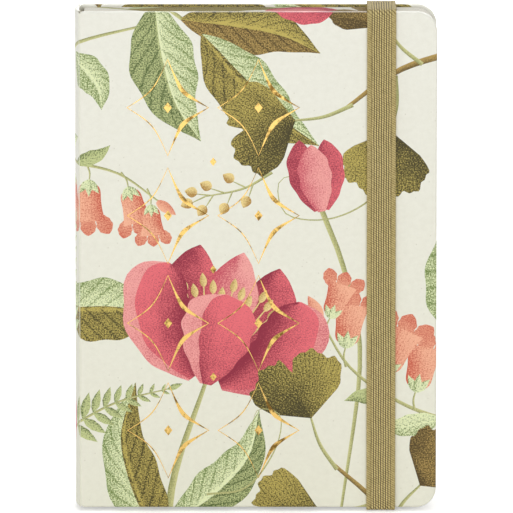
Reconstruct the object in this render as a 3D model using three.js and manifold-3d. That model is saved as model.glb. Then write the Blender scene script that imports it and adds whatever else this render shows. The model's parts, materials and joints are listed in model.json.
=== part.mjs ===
// A weekly planner: a sewn page block in a paper-wrapped hard case, held shut by an elastic loop.
// Millimetres. X runs from the spine to the fore-edge, Y from the front cover to the back cover,
// Z from the tail to the head. The planner stands closed, with the elastic on.
import * as THREE from "three";
import { mergeVertices } from "three/addons/utils/BufferGeometryUtils.js";
import Module from "manifold-3d";

// Driving sizes of the case
const COVER_WIDTH = 130;
const COVER_HEIGHT = 184;
const FORE_EDGE_CORNER = 7.3; // outline radius of a cover's two corners at the fore-edge
const SPINE_CORNER = 2.5; // outline radius of its two corners at the spine
const BOARD_THICKNESS = 2.2;
const WRAP_THICKNESS = 0.35; // laminated printed paper round the boards
const WRAP_EDGE_ROUND = 0.7; // how the wrap rounds over a board's edges
const TURN_IN_WIDTH = 14; // what the wrap covers of a board's inner face
const GLUE_LINE = 0.1; // between any two glued pieces of the case
const ENDPAPER_THICKNESS = 0.2;
const ENDPAPER_INSET = 3; // from a cover's edges to the pasted endpaper's edges
const PRESSED_STEP_CLEARANCE = 0.3; // from the turn-in's edge to the endpaper pressed in beside it

// Driving sizes of the spine
const SPINE_BULGE = 1.6; // how far the rounded spine stands out past its own edges
const SPINE_JOINT = 0.15; // open joint between the spine panel and a cover's shoulder
const SPINE_SHOULDER_INSET = 0.4; // from a cover's outer face to the edge of the spine panel
const SPINE_INLAY_THICKNESS = 0.8;
const SPINE_TURN_IN_WIDTH = 9;
const SPINE_HOLLOW = 1.7; // from a cover's shoulder to the back of the page block

// Driving sizes of the page block
const SECTION_COUNT = 10;
const SECTION_THICKNESS = 1.1;
const FOLD_DEPTH = 0.5; // how far a section rounds off at its fold
const LEAF_GAP = 0.05; // air between neighbouring sections and leaves
const SQUARE = 0.8; // how far a cover stands past the pages on three sides
const MULL_THICKNESS = 0.3;
const MULL_INSET = 6; // from the ends of the page block to the ends of the mull
const LINER_THICKNESS = 0.3;
const LINER_INSET = 2;

// Driving sizes of the elastic closure
const ELASTIC_WIDTH = 10.5;
const ELASTIC_THICKNESS = 1;
const ELASTIC_FROM_FORE_EDGE = 20.2; // to the middle of the elastic
const ELASTIC_CLEARANCE = 0.15; // between the elastic and the faces that it lies on
const ELASTIC_BEND = 0.9; // inner radius where it turns over an edge
const SELVEDGE_WIDTH = 1.7; // smooth margin on each side of the cords
const CORD_COUNT = 8;
const GROOVE_DEPTH = 0.3;
const SLOT_FROM_EDGE = 18; // from a cover's head or tail to the middle of its elastic slot
const SLOT_HEIGHT = 1.6;
const SLOT_SIDE_CLEARANCE = 0.4;
const SLOT_BEND = 0.25; // inner radius where the elastic turns down into its slot
const GLUED_BEND = 0.15; // inner radius where it turns again, onto the board's inner face
const CUT_END_GAP = 0.3; // between the loop and the end of it that is held in the slot
const GLUED_END_LENGTH = 12;
const RECESS_CLEARANCE = 0.4; // round the glued end, in the board

// Fineness of the curves, as steps
const CORNER_STEPS = 10;
const EDGE_ROUND_STEPS = 3;
const FOLD_STEPS = 8;
const SPINE_STEPS = 24;
const BEND_STEPS = 6;
const END_BEND_STEPS = 4;
const CORD_STEPS = 4;

// How far a cutting solid reaches past the face that it opens
const CUT_OVERSHOOT = 1;
const QUARTER_TURN = Math.PI / 2;

// The stack through a cover, from its outer face inwards
const CASE_THICKNESS = 2 * WRAP_THICKNESS + 2 * GLUE_LINE + BOARD_THICKNESS;
const COVER_THICKNESS = CASE_THICKNESS + GLUE_LINE + ENDPAPER_THICKNESS;
const BOARD_OUTER_DEPTH = WRAP_THICKNESS + GLUE_LINE;
const BOARD_INNER_DEPTH = BOARD_OUTER_DEPTH + BOARD_THICKNESS;
const TURN_IN_DEPTH = BOARD_INNER_DEPTH + GLUE_LINE;

// The page block between the covers
const SECTION_PITCH = SECTION_THICKNESS + LEAF_GAP;
const LEAF_PITCH = ENDPAPER_THICKNESS + LEAF_GAP;
const BLOCK_THICKNESS = 2 * LEAF_PITCH + SECTION_COUNT * SECTION_PITCH + LEAF_GAP;
const PLANNER_THICKNESS = BLOCK_THICKNESS + 2 * COVER_THICKNESS;

// Places of the main faces
const frontY = -PLANNER_THICKNESS / 2;
const backY = PLANNER_THICKNESS / 2;
const tailZ = ELASTIC_THICKNESS + ELASTIC_CLEARANCE;
const headZ = tailZ + COVER_HEIGHT;
const shoulderX = -(COVER_WIDTH - SPINE_JOINT - SPINE_BULGE) / 2;
const foreEdgeX = shoulderX + COVER_WIDTH;
const blockSpineX = shoulderX + SPINE_HOLLOW;
const elasticX = foreEdgeX - ELASTIC_FROM_FORE_EDGE;

const FINISHES = {
  printedWrap: { color: 0xecede0, roughness: 0.5 },
  board: { color: 0xa79b88, roughness: 0.95 },
  endpaper: { color: 0xf1ede0, roughness: 0.8 },
  pages: { color: 0xf3efe2, roughness: 0.9 },
  mull: { color: 0xe6e1d3, roughness: 1 },
  kraft: { color: 0xb89468, roughness: 0.9 },
  elastic: { color: 0xa99b64, roughness: 0.85 },
};

const wasm = await Module();
wasm.setup();

/** A closed three.js geometry as a solid that can be joined and cut. */
function solidOf(geometry) {
  const bare = geometry.clone();
  bare.deleteAttribute("normal");
  bare.deleteAttribute("uv");
  const merged = mergeVertices(bare, 1e-4);
  return new wasm.Manifold(
    new wasm.Mesh({
      numProp: 3,
      vertProperties: merged.attributes.position.array,
      triVerts: new Uint32Array(merged.index.array),
    }),
  );
}

/** The outline of a cover, or of a sheet that lies inside it, in X and Z. */
function coverOutline(inset, spineX = shoulderX + inset) {
  const right = foreEdgeX - inset;
  const bottom = tailZ + inset;
  const top = headZ - inset;
  const foreRadius = Math.max(FORE_EDGE_CORNER - inset, 0);
  const nearSpineRadius = Math.max(SPINE_CORNER - inset, 0);
  return roundedOutline(spineX, right, bottom, top, nearSpineRadius, foreRadius);
}

/** A rectangle in X and Z whose left and right corners have their own radii. */
function roundedOutline(left, right, bottom, top, leftRadius, rightRadius) {
  const outline = new THREE.Shape();
  const turn = QUARTER_TURN;
  outline.moveTo(left + leftRadius, bottom);
  outline.lineTo(right - rightRadius, bottom);
  if (rightRadius > 0) outline.absarc(right - rightRadius, bottom + rightRadius, rightRadius, -turn, 0);
  outline.lineTo(right, top - rightRadius);
  if (rightRadius > 0) outline.absarc(right - rightRadius, top - rightRadius, rightRadius, 0, turn);
  outline.lineTo(left + leftRadius, top);
  if (leftRadius > 0) outline.absarc(left + leftRadius, top - leftRadius, leftRadius, turn, 2 * turn);
  outline.lineTo(left, bottom + leftRadius);
  if (leftRadius > 0) outline.absarc(left + leftRadius, bottom + leftRadius, leftRadius, 2 * turn, 3 * turn);
  return outline;
}

/** A plate with an outline in X and Z, from yFront to yBack, its edges rounded by edgeRound. */
function plate(outline, yFront, yBack, edgeRound = 0) {
  const geometry = new THREE.ExtrudeGeometry(outline, {
    depth: yBack - yFront - 2 * edgeRound,
    bevelEnabled: edgeRound > 0,
    bevelThickness: edgeRound,
    bevelSize: edgeRound,
    bevelOffset: -edgeRound,
    bevelSegments: EDGE_ROUND_STEPS,
    curveSegments: CORNER_STEPS,
  });
  geometry.rotateX(QUARTER_TURN);
  geometry.translate(0, yBack - edgeRound, 0);
  return solidOf(geometry);
}

/** A column with an outline in X and Y, from zLow to zHigh. */
function column(outline, zLow, zHigh, curveSegments) {
  const depth = zHigh - zLow;
  const geometry = new THREE.ExtrudeGeometry(outline, { depth, bevelEnabled: false, curveSegments });
  geometry.translate(0, 0, zLow);
  return solidOf(geometry);
}

/** An upright box from its lowest to its highest corner. */
function block(low, high) {
  const size = high.map((value, axis) => value - low[axis]);
  const geometry = new THREE.BoxGeometry(...size);
  geometry.translate(...high.map((value, axis) => (value + low[axis]) / 2));
  return solidOf(geometry);
}

/** Turns a depth under a cover's outer face into Y. The front cover faces -Y and the back cover +Y. */
function coverY(side, depth) {
  return side === "front" ? frontY + depth : backY - depth;
}

/** A plate between two depths under a cover's outer face. */
function coverPlate(side, outline, depthA, depthB, edgeRound = 0) {
  const ys = [coverY(side, depthA), coverY(side, depthB)];
  return plate(outline, Math.min(...ys), Math.max(...ys), edgeRound);
}

/** The part of a board's inner face that the turn-ins leave bare, drawn in by inset. */
function windowOutline(inset) {
  const left = shoulderX + WRAP_THICKNESS + inset;
  const right = foreEdgeX - TURN_IN_WIDTH - inset;
  const bottom = tailZ + TURN_IN_WIDTH + inset;
  const top = headZ - TURN_IN_WIDTH - inset;
  return roundedOutline(left, right, bottom, top, 0, 0);
}

/** Middle height of the elastic's slot near the head or the tail. */
function slotZ(end) {
  return end === "head" ? headZ - SLOT_FROM_EDGE : tailZ + SLOT_FROM_EDGE;
}

/** +1 where a slot's glued end runs up the board, and -1 where it runs down. */
function inward(end) {
  return end === "head" ? -1 : 1;
}

/** The slot through the back cover that one end of the elastic goes into. */
function elasticSlot(end) {
  const halfWidth = ELASTIC_WIDTH / 2 + SLOT_SIDE_CLEARANCE;
  return block(
    [elasticX - halfWidth, backY - CASE_THICKNESS - CUT_OVERSHOOT, slotZ(end) - SLOT_HEIGHT / 2],
    [elasticX + halfWidth, backY + CUT_OVERSHOOT, slotZ(end) + SLOT_HEIGHT / 2],
  );
}

/** The hollow in the back board's inner face that takes a glued end of the elastic. */
function gluedEndRecess(end) {
  const halfWidth = ELASTIC_WIDTH / 2 + RECESS_CLEARANCE;
  const farZ = slotZ(end) + inward(end) * (ELASTIC_THICKNESS / 2 + GLUED_END_LENGTH + RECESS_CLEARANCE);
  const nearZ = slotZ(end) - inward(end) * (SLOT_HEIGHT / 2);
  const floorY = backY - BOARD_INNER_DEPTH + GLUE_LINE + ELASTIC_THICKNESS + GLUE_LINE;
  return block(
    [elasticX - halfWidth, backY - BOARD_INNER_DEPTH - CUT_OVERSHOOT, Math.min(farZ, nearZ)],
    [elasticX + halfWidth, floorY, Math.max(farZ, nearZ)],
  );
}

/** The stiff board inside a cover. The back board has the slots and hollows of the elastic. */
function coverBoard(side) {
  const board = coverPlate(side, coverOutline(BOARD_OUTER_DEPTH), BOARD_OUTER_DEPTH, BOARD_INNER_DEPTH);
  if (side === "front") return board;
  return ["head", "tail"].reduce(
    (left, end) => left.subtract(elasticSlot(end)).subtract(gluedEndRecess(end)),
    board,
  );
}

/** The printed paper round a cover's board, folded in over three edges of its inner face. */
function coverWrap(side) {
  const outside = coverPlate(side, coverOutline(0), 0, CASE_THICKNESS, WRAP_EDGE_ROUND);
  const boardRoom = coverPlate(side, coverOutline(WRAP_THICKNESS), WRAP_THICKNESS, TURN_IN_DEPTH);
  const opening = coverPlate(side, windowOutline(0), BOARD_INNER_DEPTH, CASE_THICKNESS + CUT_OVERSHOOT);
  const wrap = outside.subtract(boardRoom.add(opening));
  if (side === "front") return wrap;
  return wrap.subtract(elasticSlot("head")).subtract(elasticSlot("tail"));
}

/** The endpaper pasted on a cover's inner face, pressed down where the turn-ins end. */
function pastedEndpaper(side) {
  const sheetDepth = CASE_THICKNESS + GLUE_LINE;
  const padDepth = BOARD_INNER_DEPTH + GLUE_LINE;
  const spineX = shoulderX + WRAP_THICKNESS + PRESSED_STEP_CLEARANCE;
  const sheet = coverPlate(side, coverOutline(ENDPAPER_INSET, spineX), sheetDepth, COVER_THICKNESS);
  const pad = coverPlate(side, windowOutline(PRESSED_STEP_CLEARANCE), padDepth, COVER_THICKNESS);
  const dish = coverPlate(
    side,
    windowOutline(PRESSED_STEP_CLEARANCE + ENDPAPER_THICKNESS),
    padDepth + ENDPAPER_THICKNESS,
    COVER_THICKNESS + CUT_OVERSHOOT,
  );
  return sheet.add(pad).subtract(dish);
}

// The round back of the spine: an arc between the covers' shoulders, and the layers under it
const spineHalfChord = PLANNER_THICKNESS / 2 - SPINE_SHOULDER_INSET;
const spineRadius = (spineHalfChord ** 2 + SPINE_BULGE ** 2) / (2 * SPINE_BULGE);
const spineEdgeX = shoulderX - SPINE_JOINT;
const spineCentreX = spineEdgeX - SPINE_BULGE + spineRadius;
const spineCardHalf = BLOCK_THICKNESS / 2;
const spineCardDepth = WRAP_THICKNESS + GLUE_LINE;
const spineTurnInDepth = spineCardDepth + SPINE_INLAY_THICKNESS + GLUE_LINE;
const spineFullDepth = spineTurnInDepth + WRAP_THICKNESS;

/** A rounded strip between two depths under the spine's outer face, as wide as its two half widths. */
function spineStrip(outerDepth, innerDepth, outerHalf, innerHalf, zLow, zHigh) {
  const outerRadius = spineRadius - outerDepth;
  const innerRadius = spineRadius - innerDepth;
  const outerTurn = Math.asin(outerHalf / outerRadius);
  const innerTurn = Math.asin(innerHalf / innerRadius);
  const strip = new THREE.Shape();
  strip.absarc(spineCentreX, 0, outerRadius, Math.PI - outerTurn, Math.PI + outerTurn);
  strip.absarc(spineCentreX, 0, innerRadius, Math.PI + innerTurn, Math.PI - innerTurn, true);
  return column(strip, zLow, zHigh, SPINE_STEPS);
}

/** The card that stiffens the spine, as wide as the page block is thick. */
function spineInlay() {
  const innerDepth = spineCardDepth + SPINE_INLAY_THICKNESS;
  const [zLow, zHigh] = [tailZ + BOARD_OUTER_DEPTH, headZ - BOARD_OUTER_DEPTH];
  return spineStrip(spineCardDepth, innerDepth, spineCardHalf, spineCardHalf, zLow, zHigh);
}

/** The printed paper over the spine, folded in round the card at the head and the tail. */
function spineWrap() {
  const skinInnerRadius = spineRadius - WRAP_THICKNESS;
  const skinInnerHalf = Math.sqrt(skinInnerRadius ** 2 - (spineCentreX - spineEdgeX) ** 2);
  const skin = spineStrip(0, WRAP_THICKNESS, spineHalfChord, skinInnerHalf, tailZ, headZ);
  const foldDepth = WRAP_THICKNESS / 2;
  const folds = [
    [foldDepth, tailZ, tailZ + WRAP_THICKNESS],
    [spineTurnInDepth, tailZ, tailZ + SPINE_TURN_IN_WIDTH],
    [foldDepth, headZ - WRAP_THICKNESS, headZ],
    [spineTurnInDepth, headZ - SPINE_TURN_IN_WIDTH, headZ],
  ];
  return folds.reduce(
    (wrap, [depth, zLow, zHigh]) =>
      wrap.add(spineStrip(depth, spineFullDepth, spineCardHalf, spineCardHalf, zLow, zHigh)),
    skin,
  );
}

/** The outline of a page in X and Z. */
function pageOutline() {
  const radius = FORE_EDGE_CORNER - SQUARE;
  return roundedOutline(blockSpineX, foreEdgeX - SQUARE, tailZ + SQUARE, headZ - SQUARE, 0, radius);
}

/** Front face of a section, counted from 0 at the front cover. */
function sectionY(index) {
  return frontY + COVER_THICKNESS + LEAF_GAP + LEAF_PITCH + index * SECTION_PITCH;
}

/** A section of folded sheets: a page outline with a round fold at the spine. */
function section(index) {
  const yFront = sectionY(index);
  const yBack = yFront + SECTION_THICKNESS;
  const foldX = blockSpineX + FOLD_DEPTH;
  const fold = new THREE.Shape();
  const middleY = (yFront + yBack) / 2;
  fold.moveTo(foreEdgeX, yFront);
  fold.lineTo(foreEdgeX, yBack);
  fold.lineTo(foldX, yBack);
  fold.absellipse(foldX, middleY, FOLD_DEPTH, SECTION_THICKNESS / 2, QUARTER_TURN, 3 * QUARTER_TURN);
  const leaves = column(fold, tailZ, headZ, FOLD_STEPS);
  const trim = plate(pageOutline(), yFront - CUT_OVERSHOOT, yBack + CUT_OVERSHOOT);
  return leaves.intersect(trim);
}

/** The free leaf of an endpaper, which lies on the page block. */
function flyleaf(side) {
  const yFront = side === "front" ? sectionY(0) - LEAF_PITCH : sectionY(SECTION_COUNT);
  return plate(pageOutline(), yFront, yFront + ENDPAPER_THICKNESS);
}

/** A lining glued along the back of the page block, outside the linings already there. */
function spineLining(xBack, thickness, inset) {
  return block(
    [xBack - thickness, sectionY(0), tailZ + SQUARE + inset],
    [xBack, sectionY(SECTION_COUNT) - LEAF_GAP, headZ - SQUARE - inset],
  );
}

/**
 * A stop of the elastic's inner face on a bend about (y, z), at an angle of its outward normal.
 * A negative radius bends the elastic towards its outer face.
 */
function bendStop(y, z, radius, angle) {
  const [normalY, normalZ] = [Math.cos(angle), Math.sin(angle)];
  return { y: y + radius * normalY, z: z + radius * normalZ, normalY, normalZ };
}

/** Stops along the elastic's inner face, in Y and Z, from the slot near the tail to the other slot. */
function loopRoute() {
  const front = frontY - ELASTIC_CLEARANCE;
  const back = backY + ELASTIC_CLEARANCE;
  const low = tailZ - ELASTIC_CLEARANCE;
  const high = headZ + ELASTIC_CLEARANCE;
  const endGap = ELASTIC_THICKNESS / 2 + SLOT_BEND + CUT_END_GAP;
  const bends = [
    { y: back - ELASTIC_BEND, z: low + ELASTIC_BEND, start: 0 },
    { y: front + ELASTIC_BEND, z: low + ELASTIC_BEND, start: -QUARTER_TURN },
    { y: front + ELASTIC_BEND, z: high - ELASTIC_BEND, start: -2 * QUARTER_TURN },
    { y: back - ELASTIC_BEND, z: high - ELASTIC_BEND, start: -3 * QUARTER_TURN },
  ];
  const route = [{ y: back, z: slotZ("tail") - endGap, normalY: 1, normalZ: 0 }];
  for (const bend of bends) {
    for (let step = 0; step <= BEND_STEPS; step += 1) {
      const angle = bend.start - (step / BEND_STEPS) * QUARTER_TURN;
      route.push(bendStop(bend.y, bend.z, ELASTIC_BEND, angle));
    }
  }
  route.push({ y: back, z: slotZ("head") + endGap, normalY: 1, normalZ: 0 });
  return route;
}

/** Stops along a held end: in at its slot, through the board and along the board's inner face. */
function heldEndRoute(end) {
  const toInside = inward(end);
  const halfThickness = ELASTIC_THICKNESS / 2;
  const gluedY = backY - BOARD_INNER_DEPTH + GLUE_LINE;
  const wideBend = ELASTIC_THICKNESS + GLUED_BEND;
  const downZ = slotZ(end) - toInside * (halfThickness + SLOT_BEND);
  const alongZ = slotZ(end) + toInside * (halfThickness + GLUED_BEND);
  const route = [];
  for (let step = 0; step <= END_BEND_STEPS; step += 1) {
    const angle = (toInside * step * QUARTER_TURN) / END_BEND_STEPS;
    route.push(bendStop(backY + ELASTIC_CLEARANCE - SLOT_BEND, downZ, SLOT_BEND, angle));
  }
  for (let step = 0; step <= END_BEND_STEPS; step += 1) {
    const angle = toInside * (1 - step / END_BEND_STEPS) * QUARTER_TURN;
    route.push(bendStop(gluedY + wideBend, alongZ, -wideBend, angle));
  }
  const farZ = slotZ(end) + toInside * (halfThickness + GLUED_END_LENGTH);
  route.push({ y: gluedY, z: farZ, normalY: 1, normalZ: 0 });
  return end === "head" ? route : route.reverse();
}

/** Cross-section of the elastic as X across it and height over its inner face: cords between selvedges. */
function elasticProfile() {
  const half = ELASTIC_WIDTH / 2;
  const ribbed = ELASTIC_WIDTH - 2 * SELVEDGE_WIDTH;
  const steps = CORD_COUNT * CORD_STEPS;
  const profile = [[half, 0], [half, ELASTIC_THICKNESS], [half - SELVEDGE_WIDTH, ELASTIC_THICKNESS]];
  for (let step = 0; step <= steps; step += 1) {
    const crest = Math.abs(Math.sin((step / CORD_STEPS) * Math.PI));
    const height = ELASTIC_THICKNESS - GROOVE_DEPTH * (1 - crest);
    profile.push([half - SELVEDGE_WIDTH - (step / steps) * ribbed, height]);
  }
  profile.push([SELVEDGE_WIDTH - half, ELASTIC_THICKNESS], [-half, ELASTIC_THICKNESS], [-half, 0]);
  return profile;
}

/** A stretch of the elastic: its corded cross-section carried along a route. */
function elasticAlong(route) {
  const profile = elasticProfile();
  const positions = [];
  for (const stop of route) {
    for (const [across, height] of profile) {
      positions.push(elasticX + across, stop.y + height * stop.normalY, stop.z + height * stop.normalZ);
    }
  }
  const index = [];
  const count = profile.length;
  for (let stop = 0; stop + 1 < route.length; stop += 1) {
    for (let k = 0; k < count; k += 1) {
      const next = (k + 1) % count;
      const [a, b] = [stop * count + k, stop * count + next];
      index.push(a, a + count, b, b, a + count, b + count);
    }
  }
  const face = THREE.ShapeUtils.triangulateShape(profile.map(([x, y]) => new THREE.Vector2(x, y)), []);
  const last = (route.length - 1) * count;
  for (const [a, b, c] of face) {
    index.push(a, b, c, last + a, last + c, last + b);
  }
  const geometry = new THREE.BufferGeometry();
  geometry.setAttribute("position", new THREE.Float32BufferAttribute(positions, 3));
  geometry.setIndex(index);
  return solidOf(geometry);
}

const planner = new THREE.Group();

/** Adds a solid to the planner as a named mesh with its own material. */
function addPiece(name, solid, finish) {
  const mesh = solid.getMesh();
  const geometry = new THREE.BufferGeometry();
  geometry.setAttribute("position", new THREE.BufferAttribute(mesh.vertProperties, mesh.numProp));
  geometry.setIndex(new THREE.BufferAttribute(mesh.triVerts, 1));
  geometry.computeVertexNormals();
  const piece = new THREE.Mesh(geometry, new THREE.MeshStandardMaterial({ metalness: 0, ...finish }));
  piece.name = name;
  planner.add(piece);
}

for (const side of ["front", "back"]) {
  addPiece(`${side}_board`, coverBoard(side), FINISHES.board);
  addPiece(`wrap_${side}`, coverWrap(side), FINISHES.printedWrap);
  addPiece(`pastedown_${side}`, pastedEndpaper(side), FINISHES.endpaper);
  addPiece(`flyleaf_${side}`, flyleaf(side), FINISHES.endpaper);
}

addPiece("spine_inlay", spineInlay(), FINISHES.board);
addPiece("wrap_spine", spineWrap(), FINISHES.printedWrap);

for (let index = 0; index < SECTION_COUNT; index += 1) {
  const number = String(index + 1).padStart(2, "0");
  addPiece(`section_${number}`, section(index), FINISHES.pages);
}

const mullX = blockSpineX - GLUE_LINE;
const linerX = mullX - MULL_THICKNESS - GLUE_LINE;
addPiece("spine_mull", spineLining(mullX, MULL_THICKNESS, MULL_INSET), FINISHES.mull);
addPiece("spine_liner", spineLining(linerX, LINER_THICKNESS, LINER_INSET), FINISHES.kraft);

addPiece("elastic_band", elasticAlong(loopRoute()), FINISHES.elastic);
addPiece("elastic_end_head", elasticAlong(heldEndRoute("head")), FINISHES.elastic);
addPiece("elastic_end_tail", elasticAlong(heldEndRoute("tail")), FINISHES.elastic);

export default planner;
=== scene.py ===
import json
import logging
import math
from collections.abc import Callable, Iterator
from dataclasses import dataclass, field
from enum import Enum
from functools import partial

import bpy
import numpy as np
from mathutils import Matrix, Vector
from mathutils.geometry import delaunay_2d_cdt


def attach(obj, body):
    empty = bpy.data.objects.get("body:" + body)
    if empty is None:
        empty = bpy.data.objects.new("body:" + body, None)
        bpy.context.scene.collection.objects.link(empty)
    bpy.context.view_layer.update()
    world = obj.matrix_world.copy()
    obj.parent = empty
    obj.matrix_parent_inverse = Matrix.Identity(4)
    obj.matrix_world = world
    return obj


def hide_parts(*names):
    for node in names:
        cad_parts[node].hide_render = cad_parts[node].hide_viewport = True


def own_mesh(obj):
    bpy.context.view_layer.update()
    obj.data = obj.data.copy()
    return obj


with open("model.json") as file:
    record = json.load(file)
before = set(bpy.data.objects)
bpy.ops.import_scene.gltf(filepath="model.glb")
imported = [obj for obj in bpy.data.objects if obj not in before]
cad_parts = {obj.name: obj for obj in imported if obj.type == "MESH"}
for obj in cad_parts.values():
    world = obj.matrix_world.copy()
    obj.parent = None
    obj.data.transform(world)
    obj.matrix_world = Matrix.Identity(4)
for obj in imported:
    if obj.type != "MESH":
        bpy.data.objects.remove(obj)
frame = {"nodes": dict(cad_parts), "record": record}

LOG = logging.getLogger("planner")
MM = 0.001
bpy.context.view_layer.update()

Line = list[tuple[float, float]]  # points of a line, in millimetres


@dataclass(frozen=True)
class Sizes:
    """Sizes and places of the closed planner, in millimetres, as in the CAD model but for one."""

    cover_width: float = 130.0
    cover_height: float = 184.0
    fore_corner: float = 7.3
    spine_corner: float = 1.5  # 2.5 in the CAD, where a dark notch shows beside the square spine
    case_thickness: float = 3.1
    wrap_thickness: float = 0.35
    edge_round: float = 0.7
    turn_in: float = 14.0
    shoulder_x: float = -64.125
    front_y: float = -9.425
    tail_z: float = 1.15
    spine_bulge: float = 1.6
    spine_joint: float = 0.15
    spine_inset: float = 0.4
    spine_depth: float = 1.7
    spine_turn_in: float = 9.0
    block_half: float = 6.025
    section_count: int = 10
    section_thickness: float = 1.1
    section_pitch: float = 1.15
    first_section_y: float = -5.725
    block_spine_x: float = -62.425
    square: float = 0.8
    elastic_width: float = 10.5
    elastic_thickness: float = 1.0
    elastic_clearance: float = 0.15
    elastic_from_fore_edge: float = 20.2
    slot_from_edge: float = 18.0
    slot_height: float = 1.6
    slot_side: float = 0.4

    @property
    def back_y(self) -> float:
        """Outer face of the back cover."""
        return -self.front_y

    @property
    def head_z(self) -> float:
        """Head edge of the covers."""
        return self.tail_z + self.cover_height

    @property
    def fore_x(self) -> float:
        """Fore-edge of the covers."""
        return self.shoulder_x + self.cover_width

    @property
    def elastic_x(self) -> float:
        """Middle of the elastic."""
        return self.fore_x - self.elastic_from_fore_edge

    @property
    def spine_chord(self) -> float:
        """Half the width of the spine panel, straight across."""
        return self.back_y - self.spine_inset

    @property
    def spine_radius(self) -> float:
        """Radius of the spine panel's outer face."""
        return (self.spine_chord**2 + self.spine_bulge**2) / (2 * self.spine_bulge)

    @property
    def spine_centre_x(self) -> float:
        """Axis of the spine panel's round."""
        return self.shoulder_x - self.spine_joint - self.spine_bulge + self.spine_radius

    @property
    def spine_turn(self) -> float:
        """Half the angle of the spine panel, in radians."""
        return math.asin(self.spine_chord / self.spine_radius)

    @property
    def spine_arc(self) -> float:
        """Width of the printed sheet that lies between the two covers."""
        return 2 * (self.spine_radius * self.spine_turn + self.spine_joint)

    def slot_z(self, at_head: bool) -> float:
        """Middle height of the elastic's slot near the head or the tail."""
        return self.head_z - self.slot_from_edge if at_head else self.tail_z + self.slot_from_edge


SIZES = Sizes()
SHARE, FIRST, SECOND, MIXED = 0, 6, 7, 2  # sockets of a Mix node that mixes colours


def linear(code: str) -> tuple[float, float, float, float]:
    """Turns an sRGB hex colour into linear values.

    Args:
        code: six hex digits after a number sign.

    Returns:
        Red, green, blue and an alpha of 1.
    """
    parts = [int(code[k : k + 2], 16) / 255 for k in (1, 3, 5)]
    red, green, blue = (c / 12.92 if c <= 0.04045 else ((c + 0.055) / 1.055) ** 2.4 for c in parts)
    return (red, green, blue, 1.0)


def add_node(
    tree: bpy.types.NodeTree,
    kind: str,
    inputs: dict[str | int, object] | list[object] | None = None,
    **settings: object,
) -> bpy.types.Node:
    """Adds one node to a tree, with its settings and what goes into its sockets.

    Args:
        tree: the node tree of a material or a world.
        kind: Blender's type name of the node, without ShaderNode.
        inputs: a value or a linked output for each input socket, by name or number, or in their order.
        settings: the node's own properties.

    Returns:
        The new node.
    """
    node = tree.nodes.new("ShaderNode" + kind)
    for name, value in settings.items():
        setattr(node, name, value)
    given = inputs.items() if isinstance(inputs, dict) else enumerate(inputs or [])
    for socket, value in given:
        if isinstance(value, bpy.types.NodeSocket):
            tree.links.new(value, node.inputs[socket])
        else:
            node.inputs[socket].default_value = value
    return node


def new_material(name: str) -> tuple[bpy.types.Material, Callable[..., bpy.types.Node]]:
    """Makes an empty node material.

    Args:
        name: what the material is.

    Returns:
        The material, and add_node for its own tree.
    """
    material = bpy.data.materials.new(name)
    material.use_nodes = True
    material.node_tree.nodes.clear()
    return material, partial(add_node, material.node_tree)


def signed_area(loop: np.ndarray) -> float:
    """Area of a closed loop, positive where it runs anticlockwise."""
    x, y = loop[:, 0], loop[:, 1]
    return 0.5 * float(np.sum(x * np.roll(y, -1) - y * np.roll(x, -1)))


def inside(points: np.ndarray, loop: np.ndarray) -> np.ndarray:
    """Tests which points lie inside a closed loop.

    Args:
        points: array of points, one per row.
        loop: corners of the loop, one per row.

    Returns:
        One truth value per point.
    """
    result = np.zeros(len(points), bool)
    near = np.flatnonzero(np.all((points >= loop.min(0)) & (points <= loop.max(0)), axis=1))
    if not len(near):
        return result
    x, y = points[near, 0][:, None], points[near, 1][:, None]
    x0, y0 = loop[:, 0], loop[:, 1]
    x1, y1 = np.roll(x0, -1), np.roll(y0, -1)
    rise = np.where(y1 == y0, 1e-12, y1 - y0)
    crossed = ((y0 > y) != (y1 > y)) & (x < (x1 - x0) * (y - y0) / rise + x0)
    result[near] = crossed.sum(1) % 2 == 1
    return result


def smooth_path(points: Line, steps: int) -> np.ndarray:
    """Draws a smooth curve through points, evenly stepped along its length.

    Args:
        points: what the curve passes through.
        steps: how many stretches the curve has.

    Returns:
        The curve's points, one per row.
    """
    p = np.asarray(points, float)
    if len(p) == 2:
        return p[0] + np.linspace(0, 1, steps + 1)[:, None] * (p[1] - p[0])
    ends = np.vstack([2 * p[0] - p[1], p, 2 * p[-1] - p[-2]])
    t = np.linspace(0, 1, 13)[:-1, None]
    pieces = []
    for a, b, c, d in zip(ends, ends[1:], ends[2:], ends[3:]):
        square, cube = 2 * a - 5 * b + 4 * c - d, 3 * b - a - 3 * c + d
        pieces.append(0.5 * (2 * b + (c - a) * t + square * t**2 + cube * t**3))
    dense = np.vstack(pieces + [p[-1:]])
    run = run_along(dense)
    at = np.linspace(0, run[-1], steps + 1)
    return np.stack([np.interp(at, run, dense[:, k]) for k in (0, 1)], 1)


def run_along(path: np.ndarray) -> np.ndarray:
    """Distance along a path from its start to each of its points."""
    return np.concatenate([[0], np.cumsum(np.linalg.norm(np.diff(path, axis=0), axis=1))])


def arc_points(centre: tuple[float, float], radius: float, start: float, end: float, steps: int) -> Line:
    """Points along a circle's arc between two angles in degrees, both ends included."""
    angles = np.radians(np.linspace(start, end, steps + 1))
    return [(centre[0] + radius * math.cos(a), centre[1] + radius * math.sin(a)) for a in angles]


def tube_faces(rings: int, corners: int) -> list[tuple[int, ...]]:
    """Faces of a closed tube, whose two ends come last.

    Args:
        rings: how many rings of vertices follow each other.
        corners: how many vertices a ring has.

    Returns:
        Vertex numbers of each face.
    """
    faces: list[tuple[int, ...]] = []
    for k in range(0, (rings - 1) * corners, corners):
        for j in range(corners):
            n = (j + 1) % corners
            faces.append((k + j, k + n, k + corners + n, k + corners + j))
    faces.append(tuple(range(corners - 1, -1, -1)))
    faces.append(tuple(range((rings - 1) * corners, rings * corners)))
    return faces


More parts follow.
